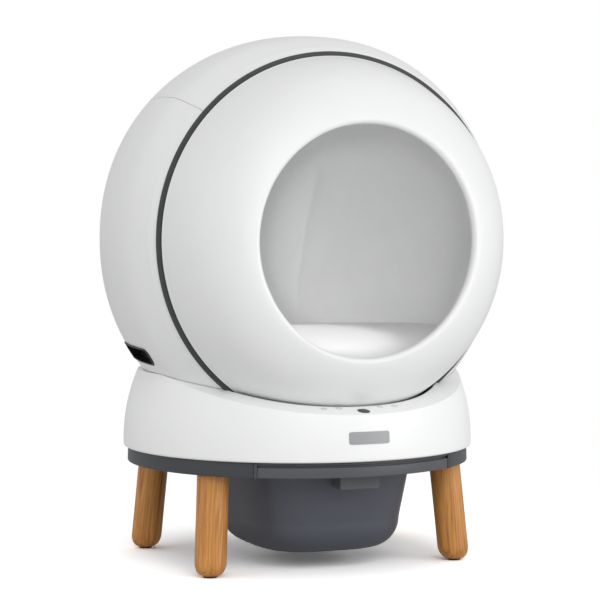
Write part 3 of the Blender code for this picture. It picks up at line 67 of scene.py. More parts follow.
DRUM_WALL = 0.003
DRUM_EDGE_Y = -0.1315
DRUM_EDGE_RADIUS = 0.2515
DRUM_EDGE_ROUND = 0.0030
DOME_SLOPE = 0.312
DOME_DEPTH = 0.1281
DOME_FULLNESS = 4.0
DRUM_FLANGE_RADIUS = 0.2370
ENTRANCE_RADIUS = 0.1553
ENTRANCE_Y = -0.2474
LIP_ROUND = 0.006
LIP_START = math.radians(160)
RETURN_END_Y = -0.2384
JOINT_RING_RADIUS = 0.2495
JOINT_RING_WIDTH = 0.0125
RING_LIP_RADIUS = 0.2578
RING_ROUND = 0.0007
REAR_RADIUS = 0.2640
REAR_DEPTH = 0.2135
TRACK_RADIUS = 0.2595
LINER_RADIUS = 0.2555
LINER_EDGE_RADIUS = 0.1601
NECK_Y = -0.1929
NECK_SOFT = 0.006
LINER_WALL = 0.0025
LINER_DEPTH = 0.2065
PORT_LENGTH = 0.115
PORT_RIGHT_X = 0.085
PORT_LEFT_X = -0.020
SIFTER_LEFT_X = -0.150
SIFTER_RIGHT_X = -0.030
SIFTER_SLOTS = 6
SIFTER_BAR = 0.007
SIFTER_RIM = 0.008
SIFTER_REACH_SHARE = 0.8
SLOT_ROUND = 0.003
DECK_THICK = 0.004
DECK_SILL_HEIGHT = 0.2945
DECK_CREST_HEIGHT = 0.3250
DECK_CREST_Y = 0.040
DECK_BACK_HEIGHT = 0.3140
DECK_BACK_Y = 0.190
BASE_RADIUS = 0.2482
BASE_WALL = 0.0035
BELLY_HEIGHT = 0.1680
FLARE_RADIUS = 0.255
BASE_CORNER = 0.003
BASE_FLANGE_RADIUS = 0.2310
SHOULDER_HEIGHT = 0.2685
LEDGE_FRONT_Y = -0.2404
LEDGE_FRONT_HEIGHT = 0.2225
LEDGE_SLOPE_SHARE = 0.257
SHOULDER_BLEND = 0.030
POCKET_GAP = 0.004
POCKET_RADIUS = 0.281
POCKET_FRONT_SHARE = 0.7
POCKET_REAR_SHARE = 1.5
BUTTON_Y = -0.2140
BUTTON_PLACES = (-0.052, -0.030, 0.030, 0.052)
BUTTON_RADIUS = 0.0045
BUTTON_PROUD = 0.0005
BUTTON_FLANGE = 0.0015
FLANGE_THICK = 0.0012
BUTTON_TRAVEL = 0.0008
STEM_RADIUS = 0.0015
BOARD_DROP = 0.0081
CAP_ROUND = 0.0006
CAP_DISH = 0.0002
PIPE_RADIUS = 0.0012
PIPE_OFFSET = 0.0085
WINDOW_RADIUS = 0.0085
WINDOW_Y = -0.2275
WINDOW_DEPTH = 0.006
BADGE_LENGTH = 0.0585
BADGE_HEIGHT = 0.0165
BADGE_ROUND = 0.0030
BADGE_MIDDLE_HEIGHT = 0.1918
BADGE_THICK = 0.0005
INLET_HEIGHT = 0.185
INLET_RADIUS = 0.0055
INLET_BORE_RADIUS = 0.0034
INLET_LENGTH = 0.010
INLET_BORE_DEPTH = 0.008
INLET_RECESS = 0.001
MOUTH_CHAMFER = 0.0004
PIN_RADIUS = 0.0009
PLATFORM_RADIUS = 0.2425
PLATFORM_BOTTOM = 0.1385
PLATFORM_TOP = 0.1595
PLATE_THICK = 0.0037
SKIRT_THICK = 0.004
EDGE_SOFT = 0.0012
SHADOW_LINE = 0.0024
SHADOW_LINE_DEPTH = 0.0040
BOSS_RADIUS = 0.0275
STUD_RADIUS = 0.004
STUD_IN_LEG = 0.026
STUD_IN_BOSS = 0.014
CAVITY_WALL = 0.004
DRAWER_ANGLE = math.radians(35.5)
DRAWER_CLEARANCE = 0.0006
DRAWER_HALF_WIDTH = 0.1408
DRAWER_BACK_Y = 0.118
DRAWER_FRONT_WALL = 0.0195
GROOVE_DEPTH = 0.0049
GROOVE_HALF = 0.0015
CHUTE_INNER_X = 0.0895
CHUTE_INNER_FRONT_Y = -0.1225
CHUTE_INNER_BACK_Y = 0.0375
FLANGE_TOP = 0.1549
BIN_MIDDLE_Y = -0.040
BIN_HALF_WIDTH = 0.1245
BIN_HALF_DEPTH = 0.1420
BIN_WALL = 0.0025
BIN_BOTTOM = 0.0235
BIN_KNUCKLE_HEIGHT = 0.066
BIN_FLANGE = 0.0050
BIN_FLANGE_THICK = 0.003
BIN_SQUARENESS = 3.2
KNUCKLE_SHARE = 0.90
BIN_FLOOR_SHARE = 0.62
GRIP_HALF_WIDTH = 0.029
GRIP_DROP = 0.0190
GRIP_FRONT_Y = -0.2165
GRIP_DEPTH = 0.0300
GRIP_WALL = 0.003
GRIP_CORNER = 0.004
CUP_LENGTH = 0.110
CUP_HEIGHT = 0.0235
CUP_MIDDLE_Y = 0.001
CUP_MIDDLE_HEIGHT = 0.2945
CUP_TILT = math.radians(3)
CUP_WALL = 0.0022
CUP_DEPTH_X = 0.2160
CUP_ROUND = 0.009
CUP_PROUD = 0.0015
LEG_RADIUS = 0.0217
LEG_FOOT_X = 0.184
LEG_FOOT_Y = 0.1345
LEG_HEAD_X = 0.1745
LEG_HEAD_Y = 0.121
LEG_END_ROUND = 0.018
LEG_FLAT_RADIUS = 0.0095
LEG_TOP_SOFT = 0.0010
PAD_THICK = 0.002
PAD_RADIUS = 0.009
CORNERS = {
    "front_left": (-1, -1),
    "front_right": (1, -1),
    "rear_left": (-1, 1),
    "rear_right": (1, 1),
}
SIDES = {"left": -1, "right": 1}

# Looks
PLASTIC_IOR = 1.46
DUST_COLOUR = (0.62, 0.60, 0.57, 1.0)
DUST_ROUGHNESS = 0.30
GRAIN_GLOSS = 0.06
WEAR_POLISH = 0.08
WOOD_LIGHT = (0.74, 0.34, 0.078, 1.0)
WOOD_DARK = (0.42, 0.150, 0.030, 1.0)
WOOD_WORN = (0.74, 0.40, 0.14, 1.0)
BEVEL_SAMPLES = 4
GRAIN_ATTRIBUTE = "grain_place"
WOOD_FIRST_SEED = 0.045
WOOD_SEED_STEP = 0.013

# Floor, light and camera
FLOOR_RADIUS = 14.0
FLOOR_DROP = 0.0002
FLOOR_BOUNCE = (0.70, 0.70, 0.70, 1.0)
FLOOR_NEAR = 0.20
FLOOR_FAR = 0.95
FLOOR_SEEN_LOW = (1.80, 1.80, 1.80, 1.0)
FLOOR_SEEN_HIGH = (1.84, 1.84, 1.84, 1.0)
SKY_LEVEL = 0.66
BEAM_POINT = (0.0, ENTRANCE_Y, AXIS_HEIGHT)
BEAM_DISTANCE = 1.3
BEAM_SPREAD = math.radians(3)
AIM_POINT = (-0.0004, -0.0114, 0.365)
VIEW_AZIMUTH = -23.05
VIEW_ELEVATION = 2.53
VIEW_DISTANCE = 2.9771
LENS = 125.3
SENSOR = 36.0

# Fineness of the surfaces
ROUND_STEPS = 240
MIDDLE_STEPS = 96
SMALL_STEPS = 64
DOT_STEPS = 32
FINE_ROWS = 90
BOWL_ROWS = 70
LONG_ROWS = 60
POCKET_ROWS = 50
SIDE_ROWS = 40
WALL_ROWS = 30
SHORT_ROWS = 24
BIN_ROWS = 20
LIP_ROWS = 16
CREASE_ROWS = 12
DRUM_EDGE_ROWS = 10
BACK_EDGE_ROWS = 9
ARC_ROWS = 8
EDGE_ROWS = 6
FILLET_ROWS = 5
CREASE_SAMPLES = 11
NECK_SAMPLES = 9
ROW_CROWDING = 0.8
SHARP_ANGLE = math.radians(32)
MERGE_DISTANCE = 1e-6
LONGEST_TRIM_SHARE = 0.45


# Meshes from grids of points
def grid_piece(name, points, wrap_rows=False):
    """Quads over rows and columns of points. The columns close on themselves, and the rows do if asked."""
    rows, columns = points.shape[:2]
    index = np.arange(rows * columns).reshape(rows, columns)
    ahead = np.roll(index, -1, axis=0)
    first = index if wrap_rows else index[:-1]
    second = ahead if wrap_rows else ahead[:-1]
    quads = np.stack([first, np.roll(first, -1, axis=1), np.roll(second, -1, axis=1), second], axis=-1)
    mesh = bpy.data.meshes.new(name)
    mesh.from_pydata(points.reshape(-1, 3).tolist(), [], quads.reshape(-1, 4).tolist())
    tidy(mesh)
    return linked(name, mesh)


def linked(name, data):
    """A new object in the scene that shows the data."""
    obj = bpy.data.objects.new(name, data)
    bpy.context.scene.collection.objects.link(obj)
    return obj


def tidy(mesh):
    """Merges the points that a pole or a seam shares, and turns every face out."""
    bm = bmesh.new()
    bm.from_mesh(mesh)
    bmesh.ops.remove_doubles(bm, verts=bm.verts, dist=MERGE_DISTANCE)
    bmesh.ops.dissolve_degenerate(bm, dist=MERGE_DISTANCE, edges=bm.edges)
    bmesh.ops.recalc_face_normals(bm, faces=bm.faces)
    bm.to_mesh(mesh)
    bm.free()
    smooth(mesh)


def smooth(mesh):
    """Shades a mesh smooth except across its sharp edges."""
    mesh.shade_smooth()
    mesh.set_sharp_from_angle(angle=SHARP_ANGLE)


def carve(obj, *tools, operation="DIFFERENCE"):
    """Applies a Boolean with each tool in turn, and removes the tool."""
    for tool in tools:
        modifier = obj.modifiers.new(tool.name, "BOOLEAN")
        modifier.operation = operation
        modifier.solver = "EXACT"
        modifier.object = tool
        graph = bpy.context.evaluated_depsgraph_get()
        carved = bpy.data.meshes.new_from_object(obj.evaluated_get(graph))
        obj.modifiers.clear()
        obj.data = carved
        bpy.data.objects.remove(tool, do_unlink=True)
    smooth(obj.data)
    return obj


def loop_of(radius, steps, squareness=ROUND_POWER):
    """Unit loop times a radius: cos and sin of the angle, each pushed out by the superellipse's power."""
    angle = np.arange(steps) * 2 * math.pi / steps
    across, up = np.cos(angle), np.sin(angle)
    power = np.asarray(squareness, float)
    if power.ndim:
        across, up, power = across[None, :], up[None, :], power[:, None]
    reach = (np.abs(across) ** power + np.abs(up) ** power) ** (-1 / power)
    radius = np.asarray(radius, float)[..., None]
    return radius * reach * across, radius * reach * up


def about_drum(name, outline, squareness=ROUND_POWER):
    """Outline points (y, radius) carried round the drum's axis. An outline off the axis is a closed loop."""
    outline = np.asarray(outline, float)
    across, up = loop_of(outline[:, 1], ROUND_STEPS, squareness)
    along = np.repeat(outline[:, :1], ROUND_STEPS, axis=1)
    points = np.stack([across, along, AXIS_HEIGHT + up], axis=-1)
    return grid_piece(name, points, wrap_rows=outline[0, 1] > 0)


def about_upright(name, outline, steps=ROUND_STEPS):
    """Outline points (z, radius) carried round the Z axis."""
    outline = np.asarray(outline, float)
    across, along = loop_of(outline[:, 1], steps)
    up = np.repeat(outline[:, :1], steps, axis=1)
    points = np.stack([across, along, up], axis=-1)
    return grid_piece(name, points, wrap_rows=outline[0, 1] > 0)


def pushed(name, outline, low, high, axis):
    """An outline in the other two directions pushed from low to high, with each end closed on its middle."""
    outline = np.asarray(outline, float)
    middle = outline.mean(axis=0)
    closed = np.broadcast_to(middle, outline.shape)
    rings = np.stack([closed, outline, outline, closed])
    level = np.array([low, low, high, high])[:, None] * np.ones(len(outline))
    kept = [rings[..., 0], rings[..., 1]]
    kept.insert(axis, level)
    return grid_piece(name, np.stack(kept, axis=-1))


def block(name, low, high):
    """A box between two corners."""
    (x0, y0, z0), (x1, y1, z1) = low, high
    return pushed(name, [(x0, y0), (x1, y0), (x1, y1), (x0, y1)], z0, z1, 2)


def pairs(first, second):
    """Outline points from their first and second values. Either may be one number for all of them."""
    return np.stack(np.broadcast_arrays(first, second), axis=1)


def eased(start, corner, end, share):
    """The parabola from start to end that heads for the corner at both: points at the shares of its run."""
    return (1 - share) ** 2 * start + 2 * share * (1 - share) * corner + share**2 * end


def arc(middle_a, middle_b, radius, start, end, count):
    """Points of an arc: middle plus radius times (cos, sin), from one angle to another in radians."""
    angle = np.linspace(start, end, count)
    return pairs(middle_a + radius * np.cos(angle), middle_b + radius * np.sin(angle))


def filleted(corners, radius):
    """A closed outline whose corners are parabolas that leave each side where an arc of the radius would."""
    corners = np.asarray(corners, float)
    before = np.roll(corners, 1, axis=0) - corners
    after = np.roll(corners, -1, axis=0) - corners
    before_length = np.linalg.norm(before, axis=1)
    after_length = np.linalg.norm(after, axis=1)
    before /= before_length[:, None]
    after /= after_length[:, None]
    half = np.arccos(np.clip((before * after).sum(1), -1, 1)) / 2
    longest = np.minimum(before_length, after_length) * LONGEST_TRIM_SHARE
    trim = np.minimum(radius / np.tan(half), longest)
    share = np.linspace(0, 1, FILLET_ROWS)[None, :, None]
    start = (corners + before * trim[:, None])[:, None, :]
    end = (corners + after * trim[:, None])[:, None, :]
    return eased(start, corners[:, None, :], end, share).reshape(-1, 2)


def rounded_outline(length, height, corner):
    """A rectangle about the origin with round corners."""
    points = []
    for quarter, (side, level) in enumerate(((1, 1), (-1, 1), (-1, -1), (1, -1))):
        start = quarter * math.pi / 2
        middle = (side * (length / 2 - corner), level * (height / 2 - corner))
        points.append(arc(*middle, corner, start, start + math.pi / 2, ARC_ROWS))
    return np.concatenate(points)


def ellipse_radius(y, middle, depth, radius):
    """Radius times the root of one less the square of the share of the depth."""
    return radius * np.sqrt(1 - np.clip((y - middle) / depth, -1, 1) ** 2)


# The part's own forms
def parting_height(y):
    """The base's top: a ramp that eases into a level shoulder by a parabola."""
    meet = LEDGE_FRONT_Y + (SHOULDER_HEIGHT - LEDGE_FRONT_HEIGHT) / LEDGE_SLOPE_SHARE
    ramp = SHOULDER_HEIGHT - LEDGE_SLOPE_SHARE * (meet - y)
    ease = SHOULDER_HEIGHT - LEDGE_SLOPE_SHARE * (meet + SHOULDER_BLEND - y) ** 2 / (4 * SHOULDER_BLEND)
    level = np.full_like(y, SHOULDER_HEIGHT)
    return np.where(y <= meet - SHOULDER_BLEND, ramp, np.where(y >= meet + SHOULDER_BLEND, level, ease))


def parting_side(name, offset, above):
    """A block whose one face is the parting surface, pushed across the object."""
    reach = BASE_RADIUS + OVERRUN
    meet = LEDGE_FRONT_Y + (SHOULDER_HEIGHT - LEDGE_FRONT_HEIGHT) / LEDGE_SLOPE_SHARE
    bend = np.linspace(meet - SHOULDER_BLEND, meet + SHOULDER_BLEND, SHORT_ROWS)
    y = np.concatenate([[-reach], bend, [reach]])
    line = pairs(y, parting_height(y) + offset)
    far = AXIS_HEIGHT + HOUSING_RADIUS + OVERRUN if above else 0.0
    outline = np.concatenate([line, [[reach, far], [-reach, far]]])
    half = HOUSING_RADIUS + OVERRUN
    return pushed(name, outline, -half, half, 0)


def base_radius(z):
    """The flare: an arc that is widest at the belly."""
    return BASE_RADIUS - FLARE_RADIUS + np.sqrt(FLARE_RADIUS**2 - (z - BELLY_HEIGHT) ** 2)


def drum_front_radius(y):
    """A cone from the drum's edge, times the root of one less a power of the share of the dome's depth."""
    reach = np.maximum(DRUM_EDGE_Y - y, 0)
    share = np.clip(reach / DOME_DEPTH, 0, 1) ** DOME_FULLNESS
    return (DRUM_EDGE_RADIUS - DOME_SLOPE * reach) * (1 - share) ** (1 / DOME_FULLNESS)


def housing_radius(y):
    """An ellipse back from the crease, then a straight band and a collar to the front."""
    crease = ellipse_radius(HOUSING_CREASE_Y, HOUSING_MIDDLE_Y, HOUSING_DEPTH, HOUSING_RADIUS)
    places = (HOUSING_FRONT_Y, COLLAR_Y, HOUSING_CREASE_Y)
    front = np.interp(y, places, (HOUSING_FRONT_RADIUS, COLLAR_RADIUS, crease))
    back = ellipse_radius(y, HOUSING_MIDDLE_Y, HOUSING_DEPTH, HOUSING_RADIUS)
    return np.where(y < HOUSING_CREASE_Y, front, back)


def softened(y, reach):
    """The housing's radius averaged over a short reach to each side, which rounds its creases."""
    spread = np.linspace(-1, 1, CREASE_SAMPLES)[None, :] * reach
    return housing_radius(y[:, None] + spread).mean(axis=1)


def housing_profile(inset, back_y):
    """Rows (y, radius, squareness) from the middle of the back, round its edge and along to the front."""
    edge_radius = float(housing_radius(HOUSING_BACK_Y)) - inset
    side_y = back_y - BACK_ROUND * BACK_SIDE_SHARE
    side_radius = float(housing_radius(side_y)) - inset
    share = np.linspace(0, 1, BACK_EDGE_ROWS)[:, None]
    start, corner, end = np.array([
        (back_y, edge_radius - BACK_ROUND),
        (back_y, edge_radius + BACK_ROUND * BACK_CORNER_SHARE),
        (side_y, side_radius),
    ])
    edge = eased(start, corner, end, share)
    crease_back, crease_front = HOUSING_CREASE_Y + CREASE_SOFT, HOUSING_CREASE_Y - CREASE_SOFT
    along = side_y + (crease_back - side_y) * np.linspace(0, 1, LONG_ROWS)[1:] ** ROW_CROWDING
    crease = np.linspace(crease_back, crease_front, CREASE_ROWS)[1:]
    collar = np.linspace(crease_front, HOUSING_FRONT_Y, SHORT_ROWS)[1:]
    side = np.concatenate([along, crease, collar])
    reach = np.interp(side, (COLLAR_Y, crease_front), (COLLAR_SOFT, CREASE_SOFT))
    radius = softened(side, reach[:, None]) - inset
    profile = np.concatenate([[[back_y, 0.0]], edge, pairs(side, radius)])
    share = np.clip((profile[:, :1] - COLLAR_Y) / (HOUSING_CREASE_Y - COLLAR_Y), 0, 1)
    return np.concatenate([profile, ROUND_POWER + (SQUARENESS - ROUND_POWER) * share], axis=1)


def housing_solid(name, proud):
    """The housing's whole outer form, closed across its front."""
    rows = housing_profile(-proud, HOUSING_BACK_Y + proud)
    rows = np.concatenate([rows, [[HOUSING_FRONT_Y, 0.0, ROUND_POWER]]])
    return about_drum(name, rows[:, :2], squareness=rows[:, 2])


def housing_shell(name):
    """The outer skin to the front edge, then the inner skin back again."""
    outer = housing_profile(0.0, HOUSING_BACK_Y)
    inner = housing_profile(HOUSING_WALL, HOUSING_BACK_Y - HOUSING_WALL)
    rows = np.concatenate([outer, inner[::-1]])
    return about_drum(name, rows[:, :2], squareness=rows[:, 2])


def cover_wedge(name, gap):
    """The wedge above the drum's axis whose sides are the top cover's side seams."""
    reach = HOUSING_RADIUS + OVERRUN
    drop = gap / math.cos(COVER_ANGLE)
    side = (reach + drop) / math.tan(COVER_ANGLE)
    outline = [(0, AXIS_HEIGHT - drop), (side, AXIS_HEIGHT + reach), (-side, AXIS_HEIGHT + reach)]
    return pushed(name, outline, HOUSING_FRONT_Y - OVERRUN, COVER_BACK_Y + gap, 1)


def cup_block(name, side, inset, near_x):
    """The side grip's slanted round-ended block, from near_x outwards."""
    outline = rounded_outline(CUP_LENGTH - 2 * inset, CUP_HEIGHT - 2 * inset, CUP_ROUND - inset)
    turn, lift = math.cos(CUP_TILT), math.sin(CUP_TILT)
    slanted = pairs(
        CUP_MIDDLE_Y + outline[:, 0] * turn - outline[:, 1] * lift,
        CUP_MIDDLE_HEIGHT + outline[:, 0] * lift + outline[:, 1] * turn,
    )
    return pushed(name, slanted, side * near_x, side * (HOUSING_RADIUS + OVERRUN), 0)


def placed(obj, matrix):
    """Moves the points themselves, so that the object stays at the origin."""
    obj.data.transform(matrix)
    return obj


def ledge_matrix(x, y):
    """Where a control sits on the sloping ledge, tilted square to it."""
    height = float(parting_height(np.array([y]))[0])
    return Matrix.Translation((x, y, height)) @ Matrix.Rotation(math.atan(LEDGE_SLOPE_SHARE), 4, "X")


def rod(name, outline, matrix, steps=SMALL_STEPS):
    """A turned solid on its own axis, from (z, radius) points that start and end on the axis, then placed."""
    return placed(about_upright(name, outline, steps), matrix)


def plain_rod(name, low, high, radius, matrix):
    """A straight rod between two places on its own axis, then placed."""
    return rod(name, [(low, 0), (low, radius), (high, radius), (high, 0)], matrix)


# Drum
def make_drum_front():
    """The dome's profile from the rear edge's round, forward over the dome, round the lip and back inside."""
    lip_middle = (ENTRANCE_Y + LIP_ROUND, ENTRANCE_RADIUS + LIP_ROUND)
    lip = arc(*lip_middle, LIP_ROUND, LIP_START, math.radians(270), LIP_ROWS)
    edge_y = DRUM_EDGE_Y - DRUM_EDGE_ROUND
    edge = arc(edge_y, DRUM_EDGE_RADIUS - DRUM_EDGE_ROUND, DRUM_EDGE_ROUND, 0, math.pi / 2, DRUM_EDGE_ROWS)
    face_y = np.linspace(edge_y - DRUM_EDGE_ROUND, lip[0, 0] + GAP, FINE_ROWS)
    face = pairs(face_y, drum_front_radius(face_y))
    tail = [(RETURN_END_Y, ENTRANCE_RADIUS), (RETURN_END_Y, ENTRANCE_RADIUS + DRUM_WALL)]
    flange_y = DRUM_EDGE_Y - DRUM_WALL
    inner_y = np.linspace(face_y[-1] + DRUM_WALL, flange_y, WALL_ROWS)[:-1]
    inner = pairs(inner_y, drum_front_radius(inner_y - DRUM_WALL / 2) - DRUM_WALL)
    rear = [
        (flange_y, DRUM_EDGE_RADIUS - DRUM_WALL),
        (flange_y, DRUM_FLANGE_RADIUS),
        (DRUM_EDGE_Y, DRUM_FLANGE_RADIUS),
    ]
    return about_drum("drum_front_dome", np.concatenate([edge, face, lip, tail, inner, rear]))


def make_joint_ring():
    """The dark ring behind the drum's edge, with a thin lip that hides the housing's front rim."""
    front = DRUM_EDGE_Y + GAP
    back = front + JOINT_RING_WIDTH
    lip_back = HOUSING_FRONT_Y - SEAM
    corners = [(front, DRUM_FLANGE_RADIUS), (back, DRUM_FLANGE_RADIUS), (back, JOINT_RING_RADIUS)]
    corners += [(lip_back, JOINT_RING_RADIUS), (lip_back, RING_LIP_RADIUS), (front, RING_LIP_RADIUS)]
    return about_drum("drum_seam_ring", filleted(corners, RING_ROUND))


def drum_rear_radius(y):
    """A ball that is shallower to the back, cut down to the rollers' track where it is widest."""
    depth = np.where(y < GLOBE_Y, REAR_RADIUS, REAR_DEPTH)
    share = np.clip((y - GLOBE_Y) / depth, -1, 1)
    return np.minimum(REAR_RADIUS * np.sqrt(1 - share**2), TRACK_RADIUS)


def bowl(name, radius_at, wall, front_y, back_y):
    """A bowl from the middle of its back to its front edge, then back along its inside.

    The inside's back is one wall nearer, so its rows take the radius from as deep a share of the outside.
    """
    share = np.sin(np.linspace(math.pi / 2, 0, BOWL_ROWS))
    depth = back_y - GLOBE_Y
    inner_depth = back_y - wall - GLOBE_Y
    ahead = np.linspace(GLOBE_Y, front_y, SIDE_ROWS)[1:]
    outer_y = np.concatenate([GLOBE_Y + depth * share, ahead])
    inner_y = np.concatenate([GLOBE_Y + inner_depth * share, ahead])
    grown = np.where(inner_y > GLOBE_Y, GLOBE_Y + (inner_y - GLOBE_Y) * depth / inner_depth, inner_y)
    inner_radius = radius_at(grown)
    inner = pairs(inner_y, inner_radius - wall * (inner_radius > wall))
    return about_drum(name, np.concatenate([pairs(outer_y, radius_at(outer_y)), inner[::-1]]))


def port_block(name, left, right, gap):
    """The block over the drum's axis that cuts the waste port and the sifter's place."""
    half = PORT_LENGTH / 2 + gap
    low = (left - gap, GLOBE_Y - half, AXIS_HEIGHT + REAR_RADIUS / 2)
    return block(name, low, (right + gap, GLOBE_Y + half, AXIS_HEIGHT + REAR_RADIUS + OVERRUN))


def make_drum_rear():
    """The bowl behind the drum's edge, open where the waste falls out."""
    front = DRUM_EDGE_Y + JOINT_RING_WIDTH + 2 * GAP
    rear = bowl("drum_rear_bowl", drum_rear_radius, DRUM_WALL, front, GLOBE_Y + REAR_DEPTH)
    return carve(rear, port_block("rear_port", PORT_LEFT_X, PORT_RIGHT_X, GAP))


def ball_radius(y, inset):
    """The liner's ball, which is shallower to the back."""
    depth = np.where(y < GLOBE_Y, LINER_RADIUS, LINER_DEPTH) - inset
    return ellipse_radius(y, GLOBE_Y, depth, LINER_RADIUS - inset)


def liner_radius(y, inset=0.0):
    """The bowl, eased over a short reach into the conical neck that runs to its front edge."""
    places = y[..., None] + np.linspace(-NECK_SOFT, NECK_SOFT, NECK_SAMPLES) * (y[..., None] < NECK_Y / 2)
    share = (NECK_Y - places) / (NECK_Y - RETURN_END_Y - GAP)
    start = ball_radius(np.array(NECK_Y), inset)
    neck = start * (1 - share) + (LINER_EDGE_RADIUS - inset) * share
    return np.where(places < NECK_Y, neck, ball_radius(places, inset)).mean(axis=-1)


def make_liner():
    """The grey bowl with its neck, open over the sifter and the port."""
    liner = bowl("drum_liner", liner_radius, LINER_WALL, RETURN_END_Y + GAP, GLOBE_Y + LINER_DEPTH)
    return carve(liner, port_block("liner_port", SIFTER_LEFT_X, PORT_RIGHT_X, GAP))


def make_sifter():
    """A slotted panel that follows the liner's curve, with its slots' edges softened."""
    reach = PORT_LENGTH * SIFTER_REACH_SHARE
    y = np.linspace(GLOBE_Y - reach, GLOBE_Y + reach, WALL_ROWS)
    outer = pairs(y, liner_radius(y))
    inner = pairs(y, liner_radius(y, LINER_WALL))
    panel = about_drum("sifter_grid", np.concatenate([outer, inner[::-1]]))
    carve(panel, port_block("sifter_region", SIFTER_LEFT_X, SIFTER_RIGHT_X, 0.0), operation="INTERSECT")
    span = PORT_LENGTH - 2 * SIFTER_RIM
    pitch = (span + SIFTER_BAR) / SIFTER_SLOTS
    middle_x = (SIFTER_LEFT_X + SIFTER_RIGHT_X) / 2
    length = SIFTER_RIGHT_X - SIFTER_LEFT_X - 2 * SIFTER_RIM
    slot_outline = rounded_outline(length, pitch - SIFTER_BAR, SLOT_ROUND)
    low, high = AXIS_HEIGHT + REAR_RADIUS / 2, AXIS_HEIGHT + REAR_RADIUS + OVERRUN
    for i in range(SIFTER_SLOTS):
        middle_y = GLOBE_Y - span / 2 + i * pitch + (pitch - SIFTER_BAR) / 2
        carve(panel, pushed(f"slot_{i}", slot_outline + (middle_x, middle_y), low, high, 2))
    return panel


def deck_height(y):
    """A crown: two parabolas that meet level at the crest."""
    front = RETURN_END_Y + GAP
    rise = (DECK_CREST_HEIGHT - DECK_SILL_HEIGHT) * ((y - DECK_CREST_Y) / (front - DECK_CREST_Y)) ** 2
    fall = (DECK_CREST_HEIGHT - DECK_BACK_HEIGHT) * ((y - DECK_CREST_Y) / (DECK_BACK_Y - DECK_CREST_Y)) ** 2
    return DECK_CREST_HEIGHT - np.where(y < DECK_CREST_Y, rise, fall)


def make_deck():
    """The crowned slab, cut to the inside of the liner."""
    half = LINER_RADIUS + OVERRUN
    y = np.linspace(RETURN_END_Y - OVERRUN, DECK_BACK_Y + OVERRUN, FINE_ROWS)
    top = pairs(y, deck_height(y))
    slab = pushed("litter_floor", np.concatenate([top, top[::-1] - (0, DECK_THICK)]), -half, half, 0)
    share = np.sin(np.linspace(math.pi / 2, 0, LONG_ROWS))
    back = GLOBE_Y + (LINER_DEPTH - LINER_WALL) * share
    y = np.concatenate([back, np.linspace(GLOBE_Y, RETURN_END_Y + GAP, LONG_ROWS)[1:]])
    radius = np.maximum(liner_radius(y, LINER_WALL) - GAP, 0)
    outline = np.concatenate([pairs(y, radius), [(y[-1], 0)]])
    return carve(slab, about_drum("deck_region", outline), operation="INTERSECT")


# Housing
def make_housing_body():
    """The shell on the base, open where the top cover and the grips sit."""
    body = housing_shell("housing_shell")
    carve(body, parting_side("housing_foot", SEAM, above=False), cover_wedge("cover_opening", COVER_SEAM))
    for side in SIDES.values():
        carve(body, cup_block("grip_slot", side, 0.0, CUP_DEPTH_X - OVERRUN))
    return body


def make_housing_cover():
    """The same shell, kept only over the drum."""
    cover = housing_shell("housing_cover")
    return carve(cover, cover_wedge("cover_region", 0.0), operation="INTERSECT")


def make_cup(word, side):
    """The grip's block, faced a little proud of the housing and hollowed from outside."""
    cup = cup_block(f"hand_cup_{word}", side, GAP, CUP_DEPTH_X)
    carve(cup, housing_solid("cup_face", CUP_PROUD), operation="INTERSECT")
    return carve(cup, cup_block("cup_hollow", side, CUP_WALL, CUP_DEPTH_X + CUP_WALL))


# Base
def make_base():
    """The flared shell: outside, then cavity, drum pocket and the holes for controls and socket."""
    bottom = PLATFORM_TOP + GAP
    top = SHOULDER_HEIGHT + OVERRUN
    corner_radius = float(base_radius(bottom + BASE_CORNER)) - BASE_CORNER
    corner = arc(bottom + BASE_CORNER, corner_radius, BASE_CORNER, math.pi, math.pi / 2, ARC_ROWS)
    z = np.linspace(bottom + 2 * BASE_CORNER, top, SIDE_ROWS)
    side = pairs(z, base_radius(z))
    base = about_upright("base_body", np.concatenate([[(bottom, 0)], corner, side, [(top, 0)]]))
    carve(base, parting_side("base_top", 0.0, above=True))
    floor = bottom + BASE_WALL
    z = np.linspace(floor, top, WALL_ROWS)
    inside = pairs(z, base_radius(z) - BASE_WALL)
    opening = [(bottom - OVERRUN, 0), (bottom - OVERRUN, BASE_FLANGE_RADIUS), (floor, BASE_FLANGE_RADIUS)]
    cavity = about_upright("base_cavity", np.concatenate([opening, inside, [(top, 0)]]))
    carve(cavity, parting_side("base_ceiling", -BASE_WALL, above=True))
    carve(base, cavity, drum_pocket())
    deep = 4 * BASE_WALL
    for x in BUTTON_PLACES:
        for radius, place in ((BUTTON_RADIUS, x), (PIPE_RADIUS, light_place(x))):
            carve(base, plain_rod("control_hole", -deep, deep, radius + GAP, ledge_matrix(place, BUTTON_Y)))
    window_hole = plain_rod("window_hole", -deep, deep, WINDOW_RADIUS + GAP, ledge_matrix(0, WINDOW_Y))
    behind = Matrix.Translation((0, BASE_RADIUS, INLET_HEIGHT)) @ Matrix.Rotation(math.pi / 2, 4, "X")
    return carve(base, window_hole, plain_rod("inlet_hole", -OVERRUN, OVERRUN, INLET_RADIUS + GAP, behind))


